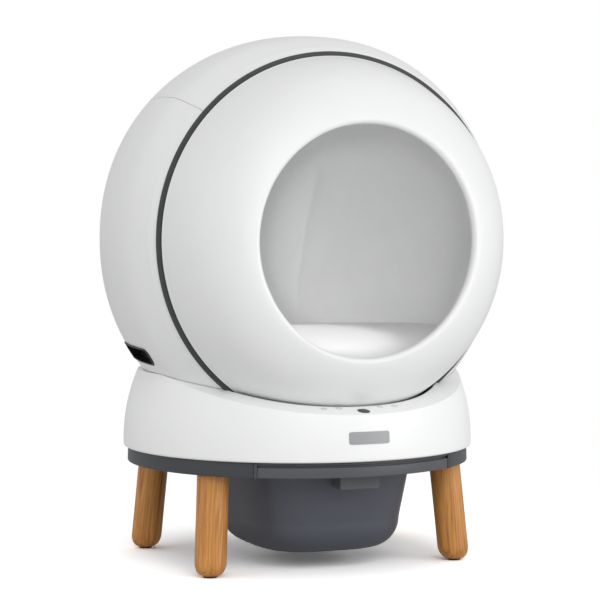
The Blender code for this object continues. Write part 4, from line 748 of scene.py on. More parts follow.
def drum_pocket():
    """The room that the drum turns in: its front dome with a gap, then a ball under the housing."""
    y = np.linspace(ENTRANCE_Y + LIP_ROUND, DRUM_EDGE_Y - DRUM_EDGE_ROUND, SIDE_ROWS)
    front = pairs(y, drum_front_radius(y) + POCKET_GAP)
    step = [(DRUM_EDGE_Y + GAP, front[-1, 1]), (HOUSING_FRONT_Y - SEAM, HOUSING_FRONT_RADIUS - HOUSING_WALL)]
    reach = DRUM_EDGE_Y - GLOBE_Y
    y = np.linspace(GLOBE_Y + POCKET_FRONT_SHARE * reach, GLOBE_Y - POCKET_REAR_SHARE * reach, POCKET_ROWS)
    rear = pairs(y, ellipse_radius(y, GLOBE_Y, POCKET_RADIUS, POCKET_RADIUS))
    outline = np.concatenate([[(front[0, 0], 0)], front, step, rear, [(rear[-1, 0], 0)]])
    return about_drum("drum_pocket", outline)


def light_place(x):
    """Where a button's light is: farther out than the button."""
    return x + math.copysign(PIPE_OFFSET, x)


def cap_rim(height, radius):
    """The rounded edge of a cap, from its side to its top."""
    return arc(height - CAP_ROUND, radius - CAP_ROUND, CAP_ROUND, math.pi / 2, 0, ARC_ROWS)


def make_button(number, x):
    """A dished cap with a rounded edge, on a flange and stem."""
    under = -BASE_WALL - GAP
    stem_foot = BUTTON_TRAVEL + GAP - BOARD_DROP
    flange = BUTTON_RADIUS + BUTTON_FLANGE
    outline = np.concatenate([
        [(stem_foot, 0), (stem_foot, STEM_RADIUS), (under - FLANGE_THICK, STEM_RADIUS)],
        [(under - FLANGE_THICK, flange), (under, flange), (under, BUTTON_RADIUS)],
        cap_rim(BUTTON_PROUD, BUTTON_RADIUS),
        [(BUTTON_PROUD - CAP_DISH, 0)],
    ])
    return rod(f"push_button_{number}", outline, ledge_matrix(x, BUTTON_Y))


def make_light_pipe(number, x):
    """A clear rod whose end is a low dome."""
    dome = arc(-PIPE_RADIUS, 0, PIPE_RADIUS, math.radians(80), 0, ARC_ROWS)
    foot = GAP - BOARD_DROP
    outline = np.concatenate([[(foot, 0), (foot, PIPE_RADIUS), (-PIPE_RADIUS, PIPE_RADIUS)], dome])
    return rod(f"light_dot_{number}", outline, ledge_matrix(light_place(x), BUTTON_Y), DOT_STEPS)


def make_window():
    """A slightly dished lens, level with the ledge."""
    foot = [(-WINDOW_DEPTH, 0), (-WINDOW_DEPTH, WINDOW_RADIUS)]
    outline = np.concatenate([foot, cap_rim(0.0, WINDOW_RADIUS), [(-CAP_DISH, 0)]])
    return rod("sensor_lens", outline, ledge_matrix(0, WINDOW_Y))


def make_name_plate():
    """A bare plate that follows the base's curve."""
    z = np.linspace(BADGE_MIDDLE_HEIGHT - BADGE_HEIGHT, BADGE_MIDDLE_HEIGHT + BADGE_HEIGHT, LIP_ROWS)
    inner = pairs(z, base_radius(z) + GAP)
    outer = pairs(z, base_radius(z) + GAP + BADGE_THICK)
    plate = about_upright("plain_plate", np.concatenate([inner, outer[::-1]]), 2 * ROUND_STEPS)
    outline = rounded_outline(BADGE_LENGTH, BADGE_HEIGHT, BADGE_ROUND) + (0, BADGE_MIDDLE_HEIGHT)
    region = pushed("plate_region", outline, -BASE_RADIUS - OVERRUN, -BASE_RADIUS / 2, 1)
    return carve(plate, region, operation="INTERSECT")


def make_inlet():
    """A socket with a chamfered mouth and a centre pin."""
    mouth = INLET_LENGTH - MOUTH_CHAMFER
    floor = INLET_LENGTH - INLET_BORE_DEPTH
    outline = [
        (0, 0),
        (0, INLET_RADIUS),
        (mouth, INLET_RADIUS),
        (INLET_LENGTH, INLET_RADIUS - MOUTH_CHAMFER),
        (INLET_LENGTH, INLET_BORE_RADIUS + MOUTH_CHAMFER),
        (mouth, INLET_BORE_RADIUS),
        (floor, INLET_BORE_RADIUS),
        (floor, PIN_RADIUS),
        (mouth - MOUTH_CHAMFER, PIN_RADIUS),
        (mouth, PIN_RADIUS / 2),
        (mouth, 0),
    ]
    y = float(base_radius(INLET_HEIGHT)) - INLET_RECESS - INLET_LENGTH
    place = Matrix.Translation((0, y, INLET_HEIGHT)) @ Matrix.Rotation(-math.pi / 2, 4, "X")
    return rod("power_socket", outline, place)


# Platform, drawer and bin
def leg_axis(corner, z):
    """Where the leg's slanting axis is at a height."""
    share = z / PLATFORM_BOTTOM
    x = LEG_FOOT_X + (LEG_HEAD_X - LEG_FOOT_X) * share
    y = LEG_FOOT_Y + (LEG_HEAD_Y - LEG_FOOT_Y) * share
    return corner[0] * x, corner[1] * y


def splayed(name, corner, outline, steps=SMALL_STEPS):
    """Level circles (z, radius) whose middle follows the leg's slant."""
    outline = np.asarray(outline, float)
    x, y = leg_axis(corner, outline[:, 0])
    across, along = loop_of(outline[:, 1], steps)
    up = np.repeat(outline[:, :1], steps, axis=1)
    return grid_piece(name, np.stack([x[:, None] + across, y[:, None] + along, up], axis=-1))


def splayed_rod(name, corner, low, high, radius):
    """A straight rod between two heights along a leg's slant."""
    return splayed(name, corner, [(low, 0), (low, radius), (high, radius), (high, 0)])


def make_platform():
    """A skirted plate with four bosses and the drawer's side walls under it."""
    inside = PLATFORM_TOP - PLATE_THICK
    rim = PLATFORM_RADIUS - EDGE_SOFT
    top_edge = arc(PLATFORM_TOP - EDGE_SOFT, rim - 2 * GAP, EDGE_SOFT, 0, math.pi / 2, EDGE_ROWS)
    low_edge = arc(PLATFORM_BOTTOM + EDGE_SOFT, rim, EDGE_SOFT, math.pi / 2, math.pi, EDGE_ROWS)
    skirt = PLATFORM_RADIUS - SKIRT_THICK
    inner = [(PLATFORM_BOTTOM, skirt), (inside, skirt), (inside, 0)]
    outline = np.concatenate([[(PLATFORM_TOP, 0)], top_edge, low_edge, inner])
    platform = about_upright("base_platform", outline)
    joined = PLATFORM_TOP - PLATE_THICK / 2
    corners = CORNERS.values()
    bosses = [splayed_rod("boss", corner, PLATFORM_BOTTOM, joined, BOSS_RADIUS) for corner in corners]
    half = DRAWER_HALF_WIDTH + DRAWER_CLEARANCE
    front = -PLATFORM_RADIUS * math.cos(DRAWER_ANGLE)
    back = DRAWER_BACK_Y + DRAWER_CLEARANCE
    outer, rear = half + CAVITY_WALL, back + CAVITY_WALL
    overlap = half + CAVITY_WALL / 2
    walls = [
        block("side_wall", (half, front, PLATFORM_BOTTOM), (outer, rear, joined)),
        block("side_wall", (-outer, front, PLATFORM_BOTTOM), (-half, rear, joined)),
        block("rear_wall", (-overlap, back, PLATFORM_BOTTOM), (overlap, rear, joined)),
    ]
    carve(platform, *bosses, *walls, operation="UNION")
    reach = PLATFORM_RADIUS + OVERRUN
    carve(
        platform,
        block("notch", (-half, -reach, PLATFORM_BOTTOM - OVERRUN), (half, front + OVERRUN, inside)),
        block(
            "drop_hole",
            (-CHUTE_INNER_X, CHUTE_INNER_FRONT_Y, inside - OVERRUN),
            (CHUTE_INNER_X, CHUTE_INNER_BACK_Y, PLATFORM_TOP + OVERRUN),
        ),
    )
    bore_top = PLATFORM_BOTTOM + STUD_IN_BOSS + GAP
    bore_bottom = PLATFORM_BOTTOM - OVERRUN
    for corner in corners:
        carve(platform, splayed_rod("boss_bore", corner, bore_bottom, bore_top, STUD_RADIUS + GAP))
    return platform


def bin_loop(z, share, inset):
    """Superellipses at the heights, whose half sizes are shares of the bin's plus an inset."""
    z, share, inset = (np.asarray(value, float)[:, None] for value in (z, share, inset))
    across, along = loop_of(np.ones(len(z)), ROUND_STEPS, np.full(len(z), BIN_SQUARENESS))
    x = np.maximum(BIN_HALF_WIDTH * share + inset, 0) * across
    y = BIN_MIDDLE_Y + np.maximum(BIN_HALF_DEPTH * share + inset, 0) * along
    return np.stack([x, y, np.broadcast_to(z, x.shape)], axis=-1)


def bin_share(z):
    """Slight draft down the side, then a quarter ellipse to the floor."""
    rise = (z - BIN_KNUCKLE_HEIGHT) / (PLATFORM_BOTTOM - BIN_KNUCKLE_HEIGHT)
    draft = KNUCKLE_SHARE + (1 - KNUCKLE_SHARE) * rise
    fall = np.clip((BIN_KNUCKLE_HEIGHT - z) / (BIN_KNUCKLE_HEIGHT - BIN_BOTTOM), 0, 1)
    knuckle = BIN_FLOOR_SHARE + (KNUCKLE_SHARE - BIN_FLOOR_SHARE) * np.sqrt(1 - fall**2)
    return np.where(z >= BIN_KNUCKLE_HEIGHT, np.minimum(draft, 1.0), knuckle)


def make_bin():
    """The tub's outside from the middle of its floor to the flange, over the rim and down its inside."""
    turn = np.linspace(math.pi / 2, 0, BIN_ROWS)
    knuckle = BIN_KNUCKLE_HEIGHT - (BIN_KNUCKLE_HEIGHT - BIN_BOTTOM) * np.sin(turn)
    side = np.linspace(BIN_KNUCKLE_HEIGHT, PLATFORM_BOTTOM, SHORT_ROWS)[1:]
    height = np.concatenate([knuckle, side])
    share = bin_share(height)
    top = FLANGE_TOP
    under = top - BIN_FLANGE_THICK
    soft = BIN_FLANGE_THICK / 4
    lip_heights = [under, under, under + soft, top - soft, top]
    lip_insets = [0.0, BIN_FLANGE - soft, BIN_FLANGE, BIN_FLANGE, BIN_FLANGE - soft]
    rows = [
        ([BIN_BOTTOM], [0.0], [0.0]),
        (height, share, np.zeros(len(height))),
        (lip_heights, [1.0] * 5, lip_insets),
        ([top, top - soft, PLATFORM_BOTTOM], [1.0] * 3, [soft - BIN_WALL, -BIN_WALL, -BIN_WALL]),
        (height[::-1] + BIN_WALL, share[::-1], np.full(len(height), -BIN_WALL)),
        ([BIN_BOTTOM + BIN_WALL], [0.0], [0.0]),
    ]
    z, share, inset = (np.concatenate([row[i] for row in rows]) for i in range(3))
    return grid_piece("waste_tub", bin_loop(z, share, inset))


def bin_block(name, low, high, inset):
    """The bin's own outline as an upright block."""
    return grid_piece(name, bin_loop([low, low, high, high], [0.0, 1.0, 1.0, 0.0], [0.0, inset, inset, 0.0]))


def make_drawer():
    """The front segment of a round plate, stepped back along its top, with the bin's hole and the grooves."""
    low = PLATFORM_BOTTOM + GAP
    high = PLATFORM_TOP - PLATE_THICK - DRAWER_CLEARANCE
    face_top = high - SHADOW_LINE
    rim = PLATFORM_RADIUS - EDGE_SOFT
    low_edge = arc(low + EDGE_SOFT, rim, EDGE_SOFT, math.pi, math.pi / 2, EDGE_ROWS)
    high_edge = arc(face_top - EDGE_SOFT, rim, EDGE_SOFT, math.pi / 2, 0, EDGE_ROWS)
    inner_radius = PLATFORM_RADIUS - SHADOW_LINE_DEPTH
    step = [(face_top, inner_radius), (high, inner_radius), (high, 0)]
    plate = about_upright("drawer_plate", np.concatenate([[(low, 0)], low_edge, high_edge, step]))
    reach = PLATFORM_RADIUS + OVERRUN
    half = DRAWER_HALF_WIDTH
    region = block("drawer_region", (-half, -reach, low - OVERRUN), (half, DRAWER_BACK_Y, high + OVERRUN))
    carve(plate, region, operation="INTERSECT")
    rim_bottom = FLANGE_TOP - BIN_FLANGE_THICK - GAP
    carve(
        plate,
        bin_block("bin_hole", low - OVERRUN, high + OVERRUN, GAP),
        bin_block("bin_rebate", rim_bottom, high + OVERRUN, BIN_FLANGE + 2 * GAP),
    )
    middle = (low + high) / 2
    front = -PLATFORM_RADIUS * math.cos(DRAWER_ANGLE) + DRAWER_FRONT_WALL
    for side in SIDES.values():
        x = sorted((side * (half - GROOVE_DEPTH), side * (half + GROOVE_DEPTH)))
        low_corner = (x[0], front, middle - GROOVE_HALF)
        carve(plate, block("groove", low_corner, (x[1], DRAWER_BACK_Y + OVERRUN, middle + GROOVE_HALF)))
    return plate


def make_grip():
    """A hooked lip under the drawer's front, open below and behind for the fingers."""
    low = PLATFORM_BOTTOM - GRIP_DROP
    back = GRIP_FRONT_Y + GRIP_DEPTH
    outline = rounded_outline(2 * GRIP_HALF_WIDTH, 2 * GRIP_DROP, GRIP_CORNER) + (0, PLATFORM_BOTTOM)
    grip = pushed("drawer_lip", outline, GRIP_FRONT_Y, back, 1)
    reach = GRIP_HALF_WIDTH + OVERRUN
    low_corner = (-reach, GRIP_FRONT_Y - OVERRUN, low - OVERRUN)
    region = block("grip_region", low_corner, (reach, back + OVERRUN, PLATFORM_BOTTOM))
    carve(grip, region, operation="INTERSECT")
    inside = GRIP_HALF_WIDTH - GRIP_WALL
    room = rounded_outline(2 * inside, 2 * (GRIP_DROP + OVERRUN), GRIP_WALL)
    room += (0, low - OVERRUN + GRIP_DROP - GRIP_WALL)
    level = np.minimum(room[:, 1], PLATFORM_BOTTOM - GRIP_WALL)
    room[:, 1] = np.where(room[:, 1] > low, level, low - OVERRUN)
    return carve(grip, pushed("finger_way", room, GRIP_FRONT_Y + GRIP_WALL, back + OVERRUN, 1))


def make_leg(word, corner):
    """A straight turned leg with a rounded foot. Its points keep their place on the leg for the grain."""
    top = PLATFORM_BOTTOM - GAP
    low = PAD_THICK + GAP
    turn = np.linspace(0, math.pi / 2, LIP_ROWS)
    foot = pairs(
        low + LEG_END_ROUND * (1 - np.cos(turn)),
        LEG_FLAT_RADIUS + (LEG_RADIUS - LEG_FLAT_RADIUS) * np.sin(turn),
    )
    side = pairs(np.linspace(foot[-1, 0], top - LEG_TOP_SOFT, SHORT_ROWS)[1:], LEG_RADIUS)
    head = [(top, LEG_RADIUS - LEG_TOP_SOFT), (top, 0)]
    leg = splayed(f"turned_leg_{word}", corner, np.concatenate([[(low, 0)], foot, side, head]), MIDDLE_STEPS)
    carve(leg, splayed_rod("leg_bore", corner, top - STUD_IN_LEG - GAP, top + OVERRUN, STUD_RADIUS + GAP))
    points = np.empty(3 * len(leg.data.vertices), np.float32)
    leg.data.vertices.foreach_get("co", points)
    points = points.reshape(-1, 3)
    x, y = leg_axis(corner, points[:, 2])
    grain = leg.data.attributes.new(GRAIN_ATTRIBUTE, "FLOAT_VECTOR", "POINT")
    place = np.stack([points[:, 0] - x, points[:, 1] - y, points[:, 2]], axis=1)
    grain.data.foreach_set("vector", place.ravel())
    return leg


def make_foot_pad(word, corner):
    """A thin disc with a chamfered lower edge."""
    rim = PAD_THICK / 4
    outline = [(0, 0), (0, PAD_RADIUS - rim), (rim, PAD_RADIUS), (PAD_THICK, PAD_RADIUS), (PAD_THICK, 0)]
    return splayed(f"rubber_foot_{word}", corner, outline)


# Shader building
def join(tree, value, socket):
    """Sets a socket to a plain value, or links another node's output to it."""
    if isinstance(value, bpy.types.NodeSocket):
        tree.links.new(value, socket)
    else:
        socket.default_value = value


def add(tree, kind, sockets=None, **settings):
    """A node with its settings and sockets. The sockets are given by name or by number."""
    node = tree.nodes.new("ShaderNode" + kind)
    for key, value in settings.items():
        setattr(node, key, value)
    for key, value in (sockets or {}).items():
        join(tree, value, node.inputs[key])
    return node


def maths(tree, operation, *values, clamp=False):
    """One step of arithmetic on values or outputs."""
    node = add(tree, "Math", dict(enumerate(values)), operation=operation, use_clamp=clamp)
    return node.outputs[0]


def mixed(tree, factor, first, second, mode="MIX"):
    """Two colours blended by a factor."""
    sockets = {0: factor, 6: first, 7: second}
    return add(tree, "Mix", sockets, data_type="RGBA", blend_type=mode).outputs[2]


def spread(tree, value, low, high, to_low, to_high):
    """A value moved from one range to another, and held within it."""
    sockets = {"Value": value, "From Min": low, "From Max": high, "To Min": to_low, "To Max": to_high}
    return add(tree, "MapRange", sockets).outputs["Result"]


def noise(tree, vector, scale, detail=3.0, roughness=0.5):
    """Soft noise at so many waves to the metre."""
    sockets = {"Vector": vector, "Scale": scale, "Detail": detail, "Roughness": roughness}
    return add(tree, "TexNoise", sockets).outputs["Fac"]


def cells(tree, vector, scale, feature="F1"):
    """Distances in a pattern of cells, at so many cells to the metre."""
    return add(tree, "TexVoronoi", {"Vector": vector, "Scale": scale}, feature=feature).outputs["Distance"]


def scaled(tree, vector, factors):
    """A place with its three values each times a factor."""
    return add(tree, "VectorMath", {0: vector, 1: factors}, operation="MULTIPLY").outputs[0]


def new_group(name, inputs, outputs):
    """A node group with the named inputs, as (name, kind, value), and outputs, as (name, kind)."""
    tree = bpy.data.node_groups.new(name, "ShaderNodeTree")
    for label, kind, value in inputs:
        socket = tree.interface.new_socket(label, in_out="INPUT", socket_type="NodeSocket" + kind)
        if value is not None:
            socket.default_value = value
    for label, kind in outputs:
        tree.interface.new_socket(label, in_out="OUTPUT", socket_type="NodeSocket" + kind)
    return tree, tree.nodes.new("NodeGroupInput").outputs, tree.nodes.new("NodeGroupOutput").inputs


def use(tree, group, sockets):
    """A shared effect's outputs, with its inputs set or linked."""
    node = add(tree, "Group", node_tree=group)
    for key, value in sockets.items():
        join(tree, value, node.inputs[key])
    return node.outputs


# Shared effects
def make_moulded_group():
    """The skin of moulded plastic: a fine texture in the tool and slow changes of tint."""
    inputs = [("Vector", "Vector", None), ("Grain Scale", "Float", 900.0), ("Drift", "Float", 0.02)]
    tree, given, wanted = new_group("moulded skin", inputs, [("Grain", "Float"), ("Tint", "Float")])
    fine = noise(tree, given["Vector"], given["Grain Scale"], 2.0, 0.6)
    bumps = cells(tree, given["Vector"], given["Grain Scale"], "SMOOTH_F1")
    tree.links.new(maths(tree, "MULTIPLY_ADD", bumps, 0.5, fine), wanted["Grain"])
    slow = noise(tree, given["Vector"], 7.0, 4.0, 0.55)
    low = maths(tree, "SUBTRACT", 1.0, given["Drift"])
    high = maths(tree, "MULTIPLY_ADD", given["Drift"], 0.4, 1.0)
    tree.links.new(spread(tree, slow, 0.30, 0.70, low, high), wanted["Tint"])
    return tree


def make_dust_group():
    """A mask of settled dust: on faces that look up, in slow patches with fine specks."""
    inputs = [("Vector", "Vector", None), ("Amount", "Float", 0.3)]
    tree, given, wanted = new_group("settled dust", inputs, [("Mask", "Float")])
    normal = add(tree, "NewGeometry").outputs["Normal"]
    level = add(tree, "SeparateXYZ", {0: normal}).outputs["Z"]
    up = spread(tree, level, 0.25, 0.95, 0.0, 1.0)
    patches = spread(tree, noise(tree, given["Vector"], 22.0, 5.0, 0.6), 0.38, 0.66, 0.0, 1.0)
    specks = spread(tree, noise(tree, given["Vector"], 1400.0, 1.0), 0.50, 0.72, 0.25, 1.0)
    mask = maths(tree, "MULTIPLY", maths(tree, "MULTIPLY", up, patches), specks)
    tree.links.new(maths(tree, "MULTIPLY", mask, given["Amount"], clamp=True), wanted["Mask"])
    return tree


def make_wear_group():
    """A mask of handled edges: where a rounded normal leaves the face's own, broken up by noise."""
    inputs = [("Vector", "Vector", None), ("Radius", "Float", 0.001), ("Amount", "Float", 0.5)]
    tree, given, wanted = new_group("worn edges", inputs, [("Mask", "Float")])
    rounded = add(tree, "Bevel", {"Radius": given["Radius"]}, samples=BEVEL_SAMPLES).outputs["Normal"]
    face = add(tree, "NewGeometry").outputs["Normal"]
    match = add(tree, "VectorMath", {0: rounded, 1: face}, operation="DOT_PRODUCT").outputs["Value"]
    turned = spread(tree, match, 0.99, 0.78, 0.0, 1.0)
    broken = spread(tree, noise(tree, given["Vector"], 160.0, 4.0, 0.65), 0.42, 0.62, 0.0, 1.0)
    mask = maths(tree, "MULTIPLY", turned, broken)
    tree.links.new(maths(tree, "MULTIPLY", mask, given["Amount"], clamp=True), wanted["Mask"])
    return tree


def make_relief_group():
    """A normal with its sharp edges rounded, and with a height worked into it."""
    inputs = [("Radius", "Float", 0.001), ("Height", "Float", 0.0), ("Depth", "Float", 0.00002)]
    tree, given, wanted = new_group("soft relief", inputs, [("Normal", "Vector")])
    rounded = add(tree, "Bevel", {"Radius": given["Radius"]}, samples=BEVEL_SAMPLES).outputs["Normal"]
    sockets = {"Strength": 1.0, "Distance": given["Depth"], "Height": given["Height"], "Normal": rounded}
    tree.links.new(add(tree, "Bump", sockets).outputs["Normal"], wanted["Normal"])
    return tree


def make_wood_group():
    """Wood cut along the grain: rings about an axis outside the leg, streaks, long fibres and dark pores."""
    inputs = [
        ("Vector", "Vector", None),
        ("Seed", "Float", 0.0),
        ("Light", "Color", WOOD_LIGHT),
        ("Dark", "Color", WOOD_DARK),
    ]
    tree, given, wanted = new_group("oiled wood", inputs, [("Color", "Color"), ("Height", "Float")])
    place = add(tree, "CombineXYZ", {"X": given["Seed"], "Y": 0.031, "Z": given["Seed"]}).outputs[0]
    moved = add(tree, "VectorMath", {0: given["Vector"], 1: place}, operation="ADD").outputs[0]
    slow = noise(tree, scaled(tree, moved, (1.0, 1.0, 0.16)), 26.0, 3.0, 0.55)
    bend = maths(tree, "MULTIPLY", slow, 0.030)
    flat = add(tree, "SeparateXYZ", {0: moved}).outputs
    across = maths(tree, "POWER", flat["X"], 2.0)
    along = maths(tree, "POWER", flat["Y"], 2.0)
    reach = maths(tree, "ADD", maths(tree, "SQRT", maths(tree, "ADD", across, along)), bend)
    wave = maths(tree, "SINE", maths(tree, "MULTIPLY", reach, 1150.0))
    rings = spread(tree, wave, -1.0, 1.0, 0.0, 1.0)
    fibres = noise(tree, scaled(tree, moved, (1.0, 1.0, 0.025)), 900.0, 4.0, 0.6)
    streaks = noise(tree, scaled(tree, moved, (1.0, 1.0, 0.05)), 150.0, 3.0, 0.6)
    specks = noise(tree, scaled(tree, moved, (1.0, 1.0, 0.06)), 2100.0, 1.0)
    pores = spread(tree, specks, 0.66, 0.74, 0.0, 1.0)
    shade = maths(tree, "MULTIPLY_ADD", rings, 0.10, maths(tree, "MULTIPLY", streaks, 0.62))
    shade = maths(tree, "MULTIPLY_ADD", fibres, 0.34, shade)
    base = mixed(tree, spread(tree, shade, 0.38, 0.68, 0.0, 1.0), given["Light"], given["Dark"])
    deep = maths(tree, "MULTIPLY", pores, 0.35)
    tree.links.new(mixed(tree, deep, base, (0.12, 0.05, 0.018, 1.0)), wanted["Color"])
    tree.links.new(maths(tree, "MULTIPLY_ADD", pores, -0.8, fibres), wanted["Height"])
    return tree


def make_brushed_group():
    """Metal drawn one way: noise stretched along the Y direction."""
    inputs = [("Vector", "Vector", None), ("Stretch", "Float", 0.02)]
    tree, given, wanted = new_group("brushed metal", inputs, [("Lines", "Float"), ("Patches", "Float")])
    factors = add(tree, "CombineXYZ", {"X": 1.0, "Y": given["Stretch"], "Z": 1.0}).outputs[0]
    tree.links.new(noise(tree, scaled(tree, given["Vector"], factors), 1600.0, 3.0, 0.6), wanted["Lines"])
    tree.links.new(noise(tree, given["Vector"], 90.0, 4.0, 0.6), wanted["Patches"])
    return tree


# Materials
def new_material(name):
    """A material with its tree, its shader's inputs and the object's own coordinates."""
    material = bpy.data.materials.new(name)
    material.use_nodes = True
    tree = material.node_tree
    where = add(tree, "TexCoord").outputs["Object"]
    return material, tree, tree.nodes["Principled BSDF"].inputs, where


def add_relief(tree, shader, radius, height, depth):
    """Rounds the sharp edges in the shading and works a height into them."""
    relief = use(tree, soft_relief, {"Radius": radius, "Height": height, "Depth": depth})
    join(tree, relief["Normal"], shader["Normal"])


def plastic(name, colour, worn, roughness, grain_scale, grain_depth, edge, drift, dust, wear):
    """Moulded plastic: tint drift, dust on top, rubbed edges, and a fine grain that varies the gloss."""
    material, tree, shader, where = new_material(name)
    skin = use(tree, moulded_skin, {"Vector": where, "Grain Scale": grain_scale, "Drift": drift})
    dusty = use(tree, settled_dust, {"Vector": where, "Amount": dust})["Mask"]
    rubbed = use(tree, worn_edges, {"Vector": where, "Radius": edge, "Amount": wear})["Mask"]
    tint = add(tree, "CombineColor", dict.fromkeys(("Red", "Green", "Blue"), skin["Tint"])).outputs[0]
    base = mixed(tree, 1.0, (*colour, 1.0), tint, "MULTIPLY")
    base = mixed(tree, rubbed, base, (*worn, 1.0))
    join(tree, mixed(tree, dusty, base, DUST_COLOUR), shader["Base Color"])
    gloss = maths(tree, "MULTIPLY_ADD", skin["Grain"], GRAIN_GLOSS, roughness - GRAIN_GLOSS / 2)
    gloss = maths(tree, "MULTIPLY_ADD", dusty, DUST_ROUGHNESS, gloss)
    join(tree, maths(tree, "MULTIPLY_ADD", rubbed, -WEAR_POLISH, gloss, clamp=True), shader["Roughness"])
    add_relief(tree, shader, edge, skin["Grain"], grain_depth)
    shader["IOR"].default_value = PLASTIC_IOR
    return material


def make_shell_white():
    """The drum's shells and the housing."""
    return plastic(
        "shell white", (0.840, 0.845, 0.845), worn=(0.90, 0.90, 0.90), roughness=0.36, edge=0.0011,
        grain_scale=1500.0, grain_depth=0.000012, drift=0.015, dust=0.10, wear=0.3,
    )


def make_base_white():
    """The flared base, a paler white."""
    return plastic(
        "base white", (0.930, 0.934, 0.934), worn=(0.93, 0.93, 0.93), roughness=0.38, edge=0.0011,
        grain_scale=1500.0, grain_depth=0.000012, drift=0.015, dust=0.08, wear=0.3,
    )


def make_liner_white():
    """The liner and the sifter, matt inside the drum."""
    return plastic(
        "liner white", (0.900, 0.903, 0.903), worn=(0.92, 0.92, 0.92), roughness=0.46, edge=0.0008,
        grain_scale=1100.0, grain_depth=0.00002, drift=0.03, dust=0.20, wear=0.3,
    )


def make_deck_white():
    """The deck that carries the litter."""
    return plastic(
        "floor white", (0.910, 0.910, 0.907), worn=(0.93, 0.93, 0.92), roughness=0.50, edge=0.0008,
        grain_scale=800.0, grain_depth=0.00003, drift=0.03, dust=0.15, wear=0.4,
    )


def make_frame_slate():
    """The platform, the darkest of the slate greys."""
    return plastic(
        "platform slate", (0.050, 0.055, 0.061), worn=(0.13, 0.13, 0.14), roughness=0.42, edge=0.0009,
        grain_scale=1000.0, grain_depth=0.000025, drift=0.10, dust=0.05, wear=0.30,
    )


def make_drawer_slate():
    """The drawer's frame and its lip."""
    return plastic(
        "drawer slate", (0.086, 0.091, 0.100), worn=(0.16, 0.16, 0.17), roughness=0.40, edge=0.0009,
        grain_scale=1000.0, grain_depth=0.000025, drift=0.10, dust=0.05, wear=0.35,
    )


def make_bin_slate():
    """The bin, a bluer slate."""
    return plastic(
        "bin slate", (0.084, 0.090, 0.110), worn=(0.18, 0.185, 0.20), roughness=0.40, edge=0.0012,
        grain_scale=850.0, grain_depth=0.00003, drift=0.08, dust=0.06, wear=0.35,
    )


def make_ring_dark():
    """The ring in the seam behind the drum's edge."""
    return plastic(
        "seam dark", (0.045, 0.046, 0.049), worn=(0.16, 0.16, 0.16), roughness=0.50, edge=0.0006,
        grain_scale=1000.0, grain_depth=0.00002, drift=0.10, dust=0.06, wear=0.30,
    )


def make_cup_black():
    """The grip cups and the socket."""
    return plastic(
        "cup black", (0.014, 0.014, 0.015), worn=(0.10, 0.10, 0.10), roughness=0.38, edge=0.0007,
        grain_scale=1100.0, grain_depth=0.00002, drift=0.12, dust=0.04, wear=0.55,
    )


def make_works_dark():
    """The moulded pieces inside, dusty from use."""
    return plastic(
        "works dark", (0.032, 0.033, 0.036), worn=(0.12, 0.12, 0.12), roughness=0.52, edge=0.0005,
        grain_scale=700.0, grain_depth=0.00004, drift=0.15, dust=0.25, wear=0.40,
    )


def make_plate_grey():
    """The bare plate on the base's front."""
    return plastic(
        "plate grey", (0.36, 0.365, 0.37), worn=(0.60, 0.60, 0.60), roughness=0.30, edge=0.0002,
        grain_scale=1700.0, grain_depth=0.000008, drift=0.04, dust=0.05, wear=0.30,
    )


def make_button_white():
    """The buttons' caps, polished by fingers."""
    return plastic(
        "button white", (0.70, 0.705, 0.71), worn=(0.85, 0.85, 0.85), roughness=0.34, edge=0.0003,
        grain_scale=1900.0, grain_depth=0.000006, drift=0.02, dust=0.05, wear=0.50,
    )


def make_lens_black():
    """Glossy black with a faint depth of smoke and fine wiping marks."""
    material, tree, shader, where = new_material("lens black")
    marks = noise(tree, scaled(tree, where, (1.0, 0.08, 1.0)), 1500.0, 3.0, 0.6)
    smoke = noise(tree, where, 240.0, 3.0, 0.5)
    depth = mixed(tree, smoke, (0.006, 0.006, 0.008, 1.0), (0.020, 0.018, 0.022, 1.0))
    join(tree, depth, shader["Base Color"])
    join(tree, spread(tree, marks, 0.45, 0.80, 0.16, 0.30), shader["Roughness"])
    add_relief(tree, shader, 0.0003, marks, 0.000001)
    shader["Specular IOR Level"].default_value = 0.25
    return material


def make_light_clear():
    """Milky light guide: cloudy, slightly glowing white."""
    material, tree, shader, where = new_material("light guide")
    cloud = noise(tree, where, 1300.0, 3.0, 0.6)
    milk = mixed(tree, cloud, (0.93, 0.95, 0.96, 1.0), (0.80, 0.84, 0.86, 1.0))
    join(tree, milk, shader["Base Color"])
    join(tree, spread(tree, cloud, 0.30, 0.70, 0.12, 0.26), shader["Roughness"])
    join(tree, milk, shader["Emission Color"])
    shader["Emission Strength"].default_value = 0.25
    return material


def make_oiled_wood(number):
    """Oiled hardwood for one leg, cut from its own place in the plank."""
    material, tree, shader, _ = new_material(f"oiled wood {number}")
    where = add(tree, "Attribute", attribute_name=GRAIN_ATTRIBUTE).outputs["Vector"]
    wood = use(tree, oiled_wood, {"Vector": where, "Seed": WOOD_FIRST_SEED + WOOD_SEED_STEP * number})
    rubbed = use(tree, worn_edges, {"Vector": where, "Radius": 0.0015, "Amount": 0.4})["Mask"]
    join(tree, mixed(tree, rubbed, wood["Color"], WOOD_WORN), shader["Base Color"])
    join(tree, maths(tree, "MULTIPLY_ADD", wood["Height"], 0.16, 0.34), shader["Roughness"])
    add_relief(tree, shader, 0.0012, wood["Height"], 0.00006)
    shader["Coat Weight"].default_value = 0.15
    shader["Coat Roughness"].default_value = 0.30
    shader["IOR"].default_value = 1.47
    return material


